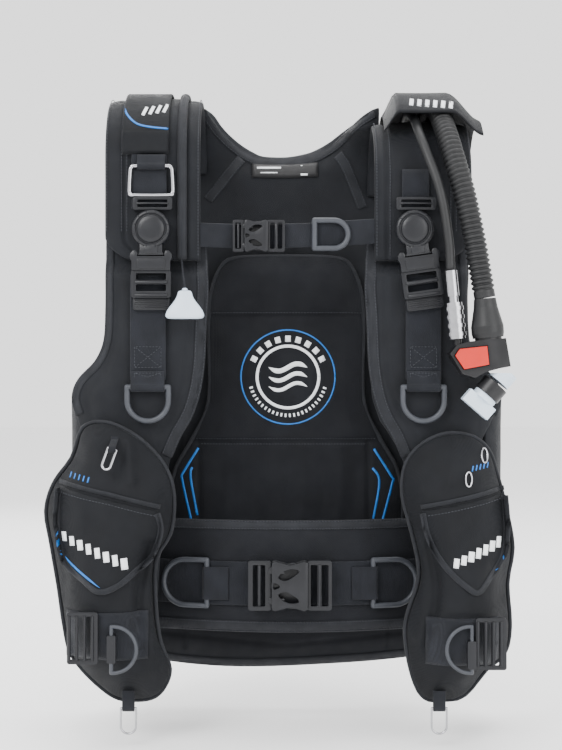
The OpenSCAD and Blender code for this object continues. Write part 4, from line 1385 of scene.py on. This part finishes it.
class Build:
    """Collects the shapes of one moulded piece in its own frame: x across, y towards
    the back, z up."""

    def __init__(self, place=(0, 0, 0), turn=0.0, spin=0.0):
        self.parts = []
        self.matrix = (Matrix.Translation(Vector(place) * MM)
                       @ Matrix.Rotation(math.radians(spin), 4, "Z")
                       @ Matrix.Rotation(math.radians(turn), 4, "Y"))

    def plate(self, loops, y0, y1):
        """A flat plate from an outline and its holes, between two depths."""
        work = bmesh.new()
        for points in loops:
            ring = [work.verts.new((q[0], y0, q[1])) for q in points]
            for a, b in zip(ring, ring[1:] + ring[:1]):
                work.edges.new((a, b))
        bmesh.ops.triangle_fill(work, edges=work.edges[:], use_beauty=True,
                                normal=(0, -1, 0))
        made = bmesh.ops.extrude_face_region(work, geom=work.faces[:])["geom"]
        bmesh.ops.translate(work, vec=(0, y1 - y0, 0), verts=[
            v for v in made if isinstance(v, bmesh.types.BMVert)])
        work.verts.index_update()
        self.parts.append(([v.co * MM for v in work.verts],
                           [[v.index for v in f.verts] for f in work.faces]))
        work.free()
        return self

    def lathe(self, centre, profile, axis="y", sides=40, squash=1.0):
        """Turns (radius, height) pairs about an axis; squash flattens it in y."""
        c = Vector(centre)
        verts = []
        for radius, height in profile:
            for k in range(sides):
                a = 2 * math.pi * k / sides
                u, v = radius * math.cos(a), radius * math.sin(a)
                q = {"y": (u, height, v), "z": (u, v * squash, height),
                     "x": (height, u, v)}[axis]
                verts.append((c + Vector(q)) * MM)
        faces = grid_faces(len(profile), sides, False, True)
        faces += [list(range(sides)),
                  [(len(profile) - 1) * sides + k for k in reversed(range(sides))]]
        self.parts.append((verts, faces))
        return self

    def tube(self, points, radius, sides=12, closed=False, side=(0, 1, 0)):
        path = [Vector(q) * MM for q in points]
        self.parts.append(swept(path, Vector(side),
                                oval(radius * MM, radius * MM, sides), closed))
        return self

    def make(self, name, material, bevel=0.6, body="root", replaces=(), slot=None):
        verts, faces = join_parts(self.parts)
        made = piece(name, [self.matrix @ v for v in verts], faces, material,
                     body=body, replaces=replaces, slot=slot)
        if bevel:
            bevelled(made, bevel * MM, 2, 35)
        return made


def rounded(x0, x1, z0, z1, r, n=4):
    """A rounded rectangle."""
    out = []
    for cx, cz, start in ((x1 - r, z1 - r, 0), (x0 + r, z1 - r, 90),
                          (x0 + r, z0 + r, 180), (x1 - r, z0 + r, 270)):
        for i in range(n + 1):
            a = math.radians(start + 90 * i / n)
            out.append((cx + r * math.cos(a), cz + r * math.sin(a)))
    return out


def flip(points):
    return [(x, -z) for x, z in points]


def release_buckle(name, mouth, w, t, l0, lb, l1, nodes):
    """A side-release buckle: its mouth faces -X, and the plug enters it."""
    h, k = w / 2, lb / 39
    tall = h / 27
    waist = curve([(x * k, z * tall, 0) for x, z in (
        (4, 26.6), (12, 24.6), (20, 22.6), (28, 24.6), (35, 26.8))], 4)
    top = [(q.x, q.y) for q in waist]
    outline = ([(0, 22 * tall)] + [(0.8 * k, 25.6 * tall)] + top
               + [(lb, 25 * tall), (lb, -25 * tall)]
               + [(x, -z) for x, z in reversed(top)]
               + [(0.8 * k, -25.6 * tall), (0, -22 * tall)])
    window = [(q.x, q.y) for q in curve([(x * k, z * tall, 0) for x, z in (
        (7, 9), (12, 15.5), (21, 18.6), (30, 16.5), (24, 10.5), (15, 6.0))], 3, True)]
    notch = [(q.x, q.y) for q in curve([(x * k, z * tall, 0) for x, z in (
        (2, -3.4), (2, 3.4), (8, 1.6), (8, -1.6))], 3, True)]
    ladder_out = rounded(lb - 0.5, lb + l1, -h, h, 3 * k)
    slots = [rounded(lb + l1 * a, lb + l1 * b, -h + 4.6 * tall, h - 4.6 * tall, 1.2)
             for a, b in ((0.12, 0.40), (0.58, 0.86))]
    socket = Build(mouth)
    socket.plate([outline, window, flip(window), notch], -t, -t * 0.76)
    socket.plate([outline], -t * 0.22, -0.2)
    socket.plate([rounded(lb * 0.74, lb, -h * 0.86, h * 0.86, 1)], -t * 0.9, -0.4)
    for sign in (-1, 1):
        rail = [(0.4, sign * h * 0.50), (lb * 0.35, sign * h * 0.50),
                (lb * 0.35, sign * h * 0.58), (0.4, sign * h * 0.58)]
        socket.plate([rail], -t * 0.9, -0.4)
    socket.plate([ladder_out] + slots, -t * 0.62, -0.6)
    bar = lb + l1 * 0.49
    socket.tube([(bar, -t * 0.55, -h + 4), (bar, -t * 0.55, 0), (bar, -t * 0.55, h - 4)],
                t * 0.14, side=(0, 1, 0))
    socket.make(name + "_socket_shell", "buckle", 0.55, "root", [nodes[0]],
                "buckle_plastic")
    plug = Build(mouth)
    frame_out = rounded(-0.6 - l0, -0.6, -h, h, 3 * k)
    hole = rounded(-0.6 - l0 * 0.80, -0.6 - l0 * 0.26, -h + 4.6 * tall, h - 4.6 * tall,
                   1.2)
    plug.plate([frame_out, hole], -t * 0.66, -0.6)
    middle = -0.6 - l0 * 0.52
    plug.tube([(middle, -t * 0.45, -h + 4), (middle, -t * 0.45, 0),
               (middle, -t * 0.45, h - 4)], t * 0.15)
    arm = [(q.x, q.y) for q in curve([(x * k, z * tall, 0) for x, z in (
        (-2, 13), (-2, 19.5), (10, 21.8), (20, 24.6), (27, 24.2), (28.4, 20.5),
        (20, 20.2), (10, 16.5))], 3, True)]
    plug.plate([arm], -t * 0.72, -t * 0.28)
    plug.plate([flip(arm)], -t * 0.72, -t * 0.28)
    plug.plate([rounded(-2, lb * 0.60, -h * 0.10, h * 0.10, 1)], -t * 0.64, -t * 0.36)
    plug.make(name + "_plug_shell", "buckle", 0.5, name + "_plug", [nodes[1]],
              "buckle_plastic")


def swivel_buckle(side, place, tilt):
    """A shoulder buckle: a round head that turns, and the plug below it."""
    head = Build(place, tilt)
    head.lathe((0, 0, 0), [(19, -0.2), (20.4, -1.2), (20.5, -9.5), (19.4, -12),
                           (17.6, -13), (16.8, -13), (16.2, -11.8), (15.0, -11.6),
                           (14.4, -13.4), (13.2, -14.2), (9, -15.0), (0.1, -15.2)])
    for i in range(12):
        a = math.radians(30 * i + 15)
        c, n = math.cos(a), math.sin(a)
        head.tube([(17.4 * c, -12.9, 17.4 * n), (18.6 * c, -12.3, 18.6 * n),
                   (19.6 * c, -11.2, 19.6 * n)], 0.9, 8, side=(-n, 0, c))
    neck = [(-12, -14), (-12, -24), (-13.6, -27.6), (13.6, -27.6), (12, -24), (12, -14)]
    head.plate([neck], -11, -2)
    head.plate([[(-7, -18), (-7, -26), (7, -26), (7, -18)]], -12.2, -10)
    head.make("swivel_head_" + side, "buckle", 0.5, "root", ["swivel_socket_" + side],
              "buckle_plastic")
    plug = Build(place, tilt)
    body = [(-20.5, -44), (-20.5, -34.5), (-22.3, -31), (-22, -26.5), (-19, -23),
            (-15.6, -23.2), (-14, -26.5), (-14.8, -29), (14.8, -29), (14, -26.5),
            (15.6, -23.2), (19, -23), (22, -26.5), (22.3, -31), (20.5, -34.5),
            (20.5, -44)]
    plug.plate([body], -11.4, -1)
    plug.plate([rounded(-15, 15, -42.4, -31.5, 2)], -12.4, -11)
    outer = rounded(-21, 21, -73, -43.6, 2.4)
    slots = [rounded(-16, 16, z - 3.6, z + 3.6, 1.4) for z in (-50.6, -62.4)]
    plug.plate([outer] + slots, -9.6, -2)
    for z in (-56.5, -70.2):
        plug.tube([(-17, -9.0, z), (0, -9.2, z), (17, -9.0, z)], 2.1, 12,
                  side=(0, 1, 0))
    plug.plate([rounded(-19.5, 19.5, -86, -72.6, 2.5)], -6.4, -1.4)
    for i in range(5):
        z = -75.2 - 2.2 * i
        plug.tube([(-17.6, -6.4, z), (0, -6.7, z), (17.6, -6.4, z)], 0.75, 8,
                  side=(0, 1, 0))
    plug.make("swivel_clip_" + side, "buckle", 0.5, "swivel_plug_" + side,
              ["swivel_plug_" + side], "buckle_plastic")


def ladder_frame(build, x0, x1, z0, z1, depth, bars, front):
    """An upright frame of bars that webbing is threaded through."""
    gap = (x1 - x0) / bars
    holes = [rounded(x0 + gap * i + gap * 0.30, x0 + gap * (i + 1) + gap * 0.06,
                     z0 + 4.4, z1 - 4.4, 1.0) for i in range(bars - 1)]
    build.plate([rounded(x0, x1, z0, z1, 2.6)] + holes, front, front + depth)
    for i in range(bars):
        x = x0 + gap * i + gap * 0.17
        build.tube([(x + 1, front, z0 + 4), (x + 1, front - 0.6, (z0 + z1) / 2),
                    (x + 1, front, z1 - 4)], 1.7, 10)


def make_small_hardware(panels):
    """Slides, the chrome ring, the pull knob, eyelets, and the pouch hardware."""
    slides = Build((0, -274.2, 209.8))
    for x in (-143, 138):
        slots = [rounded(x - 16, x + 16, z - 1.5, z + 1.5, 0.8) for z in (-2.6, 2.6)]
        slides.plate([rounded(x - 21, x + 21, -6.8, 6.8, 2.4)] + slots, -4.2, -0.4)
        slides.tube([(x - 17, -4.0, 0), (x, -4.4, 0), (x + 17, -4.0, 0)], 1.2, 10)
    slides.make("webbing_slide_frames", "buckle", 0.5, "root", ["webbing_slides"],
                "buckle_plastic")
    ring = Build((-144.5, -276, 250))
    corners = [(-17, 0, 0), (17, 0, 0), (20.6, 0, -1.6), (22.2, 0, -5), (23.2, 0, -25),
               (22.4, 0, -29), (19, 0, -31), (-19, 0, -31), (-22.4, 0, -29),
               (-23.2, 0, -25), (-22.2, 0, -5), (-20.6, 0, -1.6)]
    ring.tube([tuple(q) for q in curve(corners, 4, True)], 2, 14, True)
    ring.make("chrome_ring", "steel", 0, "shoulder_d_ring", ["shoulder_d_ring"], "steel")
    knob = Build((-107.5, -292, 86))
    knob.lathe((0, 0, 0), [(0.1, 0.6), (14, 0.2), (18.6, 0.9), (20.4, 2.8), (20.3, 5.4),
                           (18.6, 9.4), (15.6, 13.6), (12.4, 17.6), (9.8, 21.2),
                           (8.2, 24.6), (7.4, 28), (6.2, 29.6), (3, 30.3), (0.1, 30.4)],
               "z", 48, 0.32)
    knob.lathe((0, 0, 29.6), [(0.1, 0), (2.6, 0.2), (3, 1.6), (2.2, 3), (0.1, 3.3)], "z",
               16)
    knob.make("pull_knob", "pale", 0, "dump_knob", ["dump_knob"], "pale_plastic")
    # Hardware of the two pouch straps
    for side, x, z, pull in (("left", -212, -246, -182), ("right", 212, -252, 192)):
        skin = panels["pocket_" + side].skin
        sign = pair(side, -1, 1)
        outer = pair(side, 234, 223)
        path = [Vector((sign * a * MM, z * MM)) for a in np.linspace(outer, 146, 22)]
        piece("pouch_webbing_" + side, *tape([skin], path, 50 * MM, 2.2 * MM, 14),
              "webbing", slot="webbing")
        frame_ = Build((0, 0, z))
        ladder_frame(frame_, x - 16, x + 16, -27, 27, 4.5, 4, -319)
        frame_.plate([rounded(pull - 4.6, pull + 4.6, -26, 3, 1.6)], -320.6, -313)
        frame_.make("pouch_frame_" + side, "buckle", 0.5, "root",
                    ["pouch_buckles"] if side == "left" else (), "buckle_plastic")
        ring_x = pair(side, -167, 161)
        path = [Vector((ring_x * MM, y * MM, q * MM)) for y, q in
                ((-288.8, -306), (-289.2, -316), (-289.8, -323), (-290.6, -326.2),
                 (-292, -327.4), (-293.4, -326.2), (-294.2, -323), (-294.8, -316),
                 (-295.2, -306))]
        piece("hem_tab_" + side, *swept(path, Vector((-1, 0, 0)),
                                        band_profile(13 * MM, 1.6 * MM, 5)),
              "webbing", slot="webbing")
    tab = ring_loop(-181 * MM, -318.1 * MM, -50 * MM, 1.6 * MM, 8 * MM, -38 * MM,
                    on_front([panels["pocket_left"].skin], -181 * MM, -40 * MM, 0).y)
    piece("pocket_ring_tab", *tab, "webbing", slot="webbing")
    for i, (x, z) in enumerate(((190, -82), (209, -58))):
        rim = []
        for a in np.linspace(0, 2 * math.pi, 33)[:-1]:
            q = on_front([panels["pocket_right"].skin], (x + 3.4 * math.cos(a)) * MM,
                         (z + 7.6 * math.sin(a)) * MM, 0.8 * MM)
            rim.append(tuple(q / MM))
        eye = Build((0, 0, 0), 0)
        eye.tube(rim, 1.0, 10, True)
        eye.make("pocket_eyelet_%d" % (i + 1), "steel", 0, "root", (), "steel")


def make_hard_parts(panels):
    for side, place, tilt in (("left", (-144, -274.5, 182), 0),
                              ("right", (136, -274.5, 182), -8)):
        swivel_buckle(side, place, tilt)
    release_buckle("sternum", (-45, -264, 176), 34, 11, 12, 25, 18,
                   ("sternum_socket", "sternum_plug"))
    release_buckle("waist", (-16, -243.8, -201), 54, 16, 25, 39, 26,
                   ("waist_socket", "waist_plug"))
    make_small_hardware(panels)
    for name in ("cam_base", "cam_lever"):
        finish_node(name, "buckle", 0.7 * MM)
    for name in ("chest_d_ring_left", "chest_d_ring_right", "waist_d_ring_left",
                 "waist_d_ring_right", "sternum_d_ring", "pull_loop_left",
                 "pull_loop_right"):
        finish_node(name, "ring")
    for name in ("pocket_ring", "hem_ring_left", "hem_ring_right", "lp_ferrule",
                 "coupler_sleeve", "lp_fitting"):
        finish_node(name, "steel", 0.3 * MM)
    for name in ("backplate", "dump_valves", "hose_elbow"):
        finish_node(name, "plate", 1.0 * MM)
    finish_node("hose_cuff", "rubber", 0.8 * MM)
    finish_node("inflator_body", "black", 1.6 * MM, 3)
    finish_node("inflate_button", "red", 1.0 * MM, 3)
    for name in ("deflate_button", "mouthpiece", "rear_dump_knob"):
        finish_node(name, "pale", 1.4 * MM, 3)


MATERIALS = make_materials()
make_camera()
make_cords()
make_stage()
PADDING = make_padding()
STRAPS = make_straps()
make_trim(PADDING)
make_webbing()
make_shoulders(STRAPS)
make_hard_parts(PADDING)
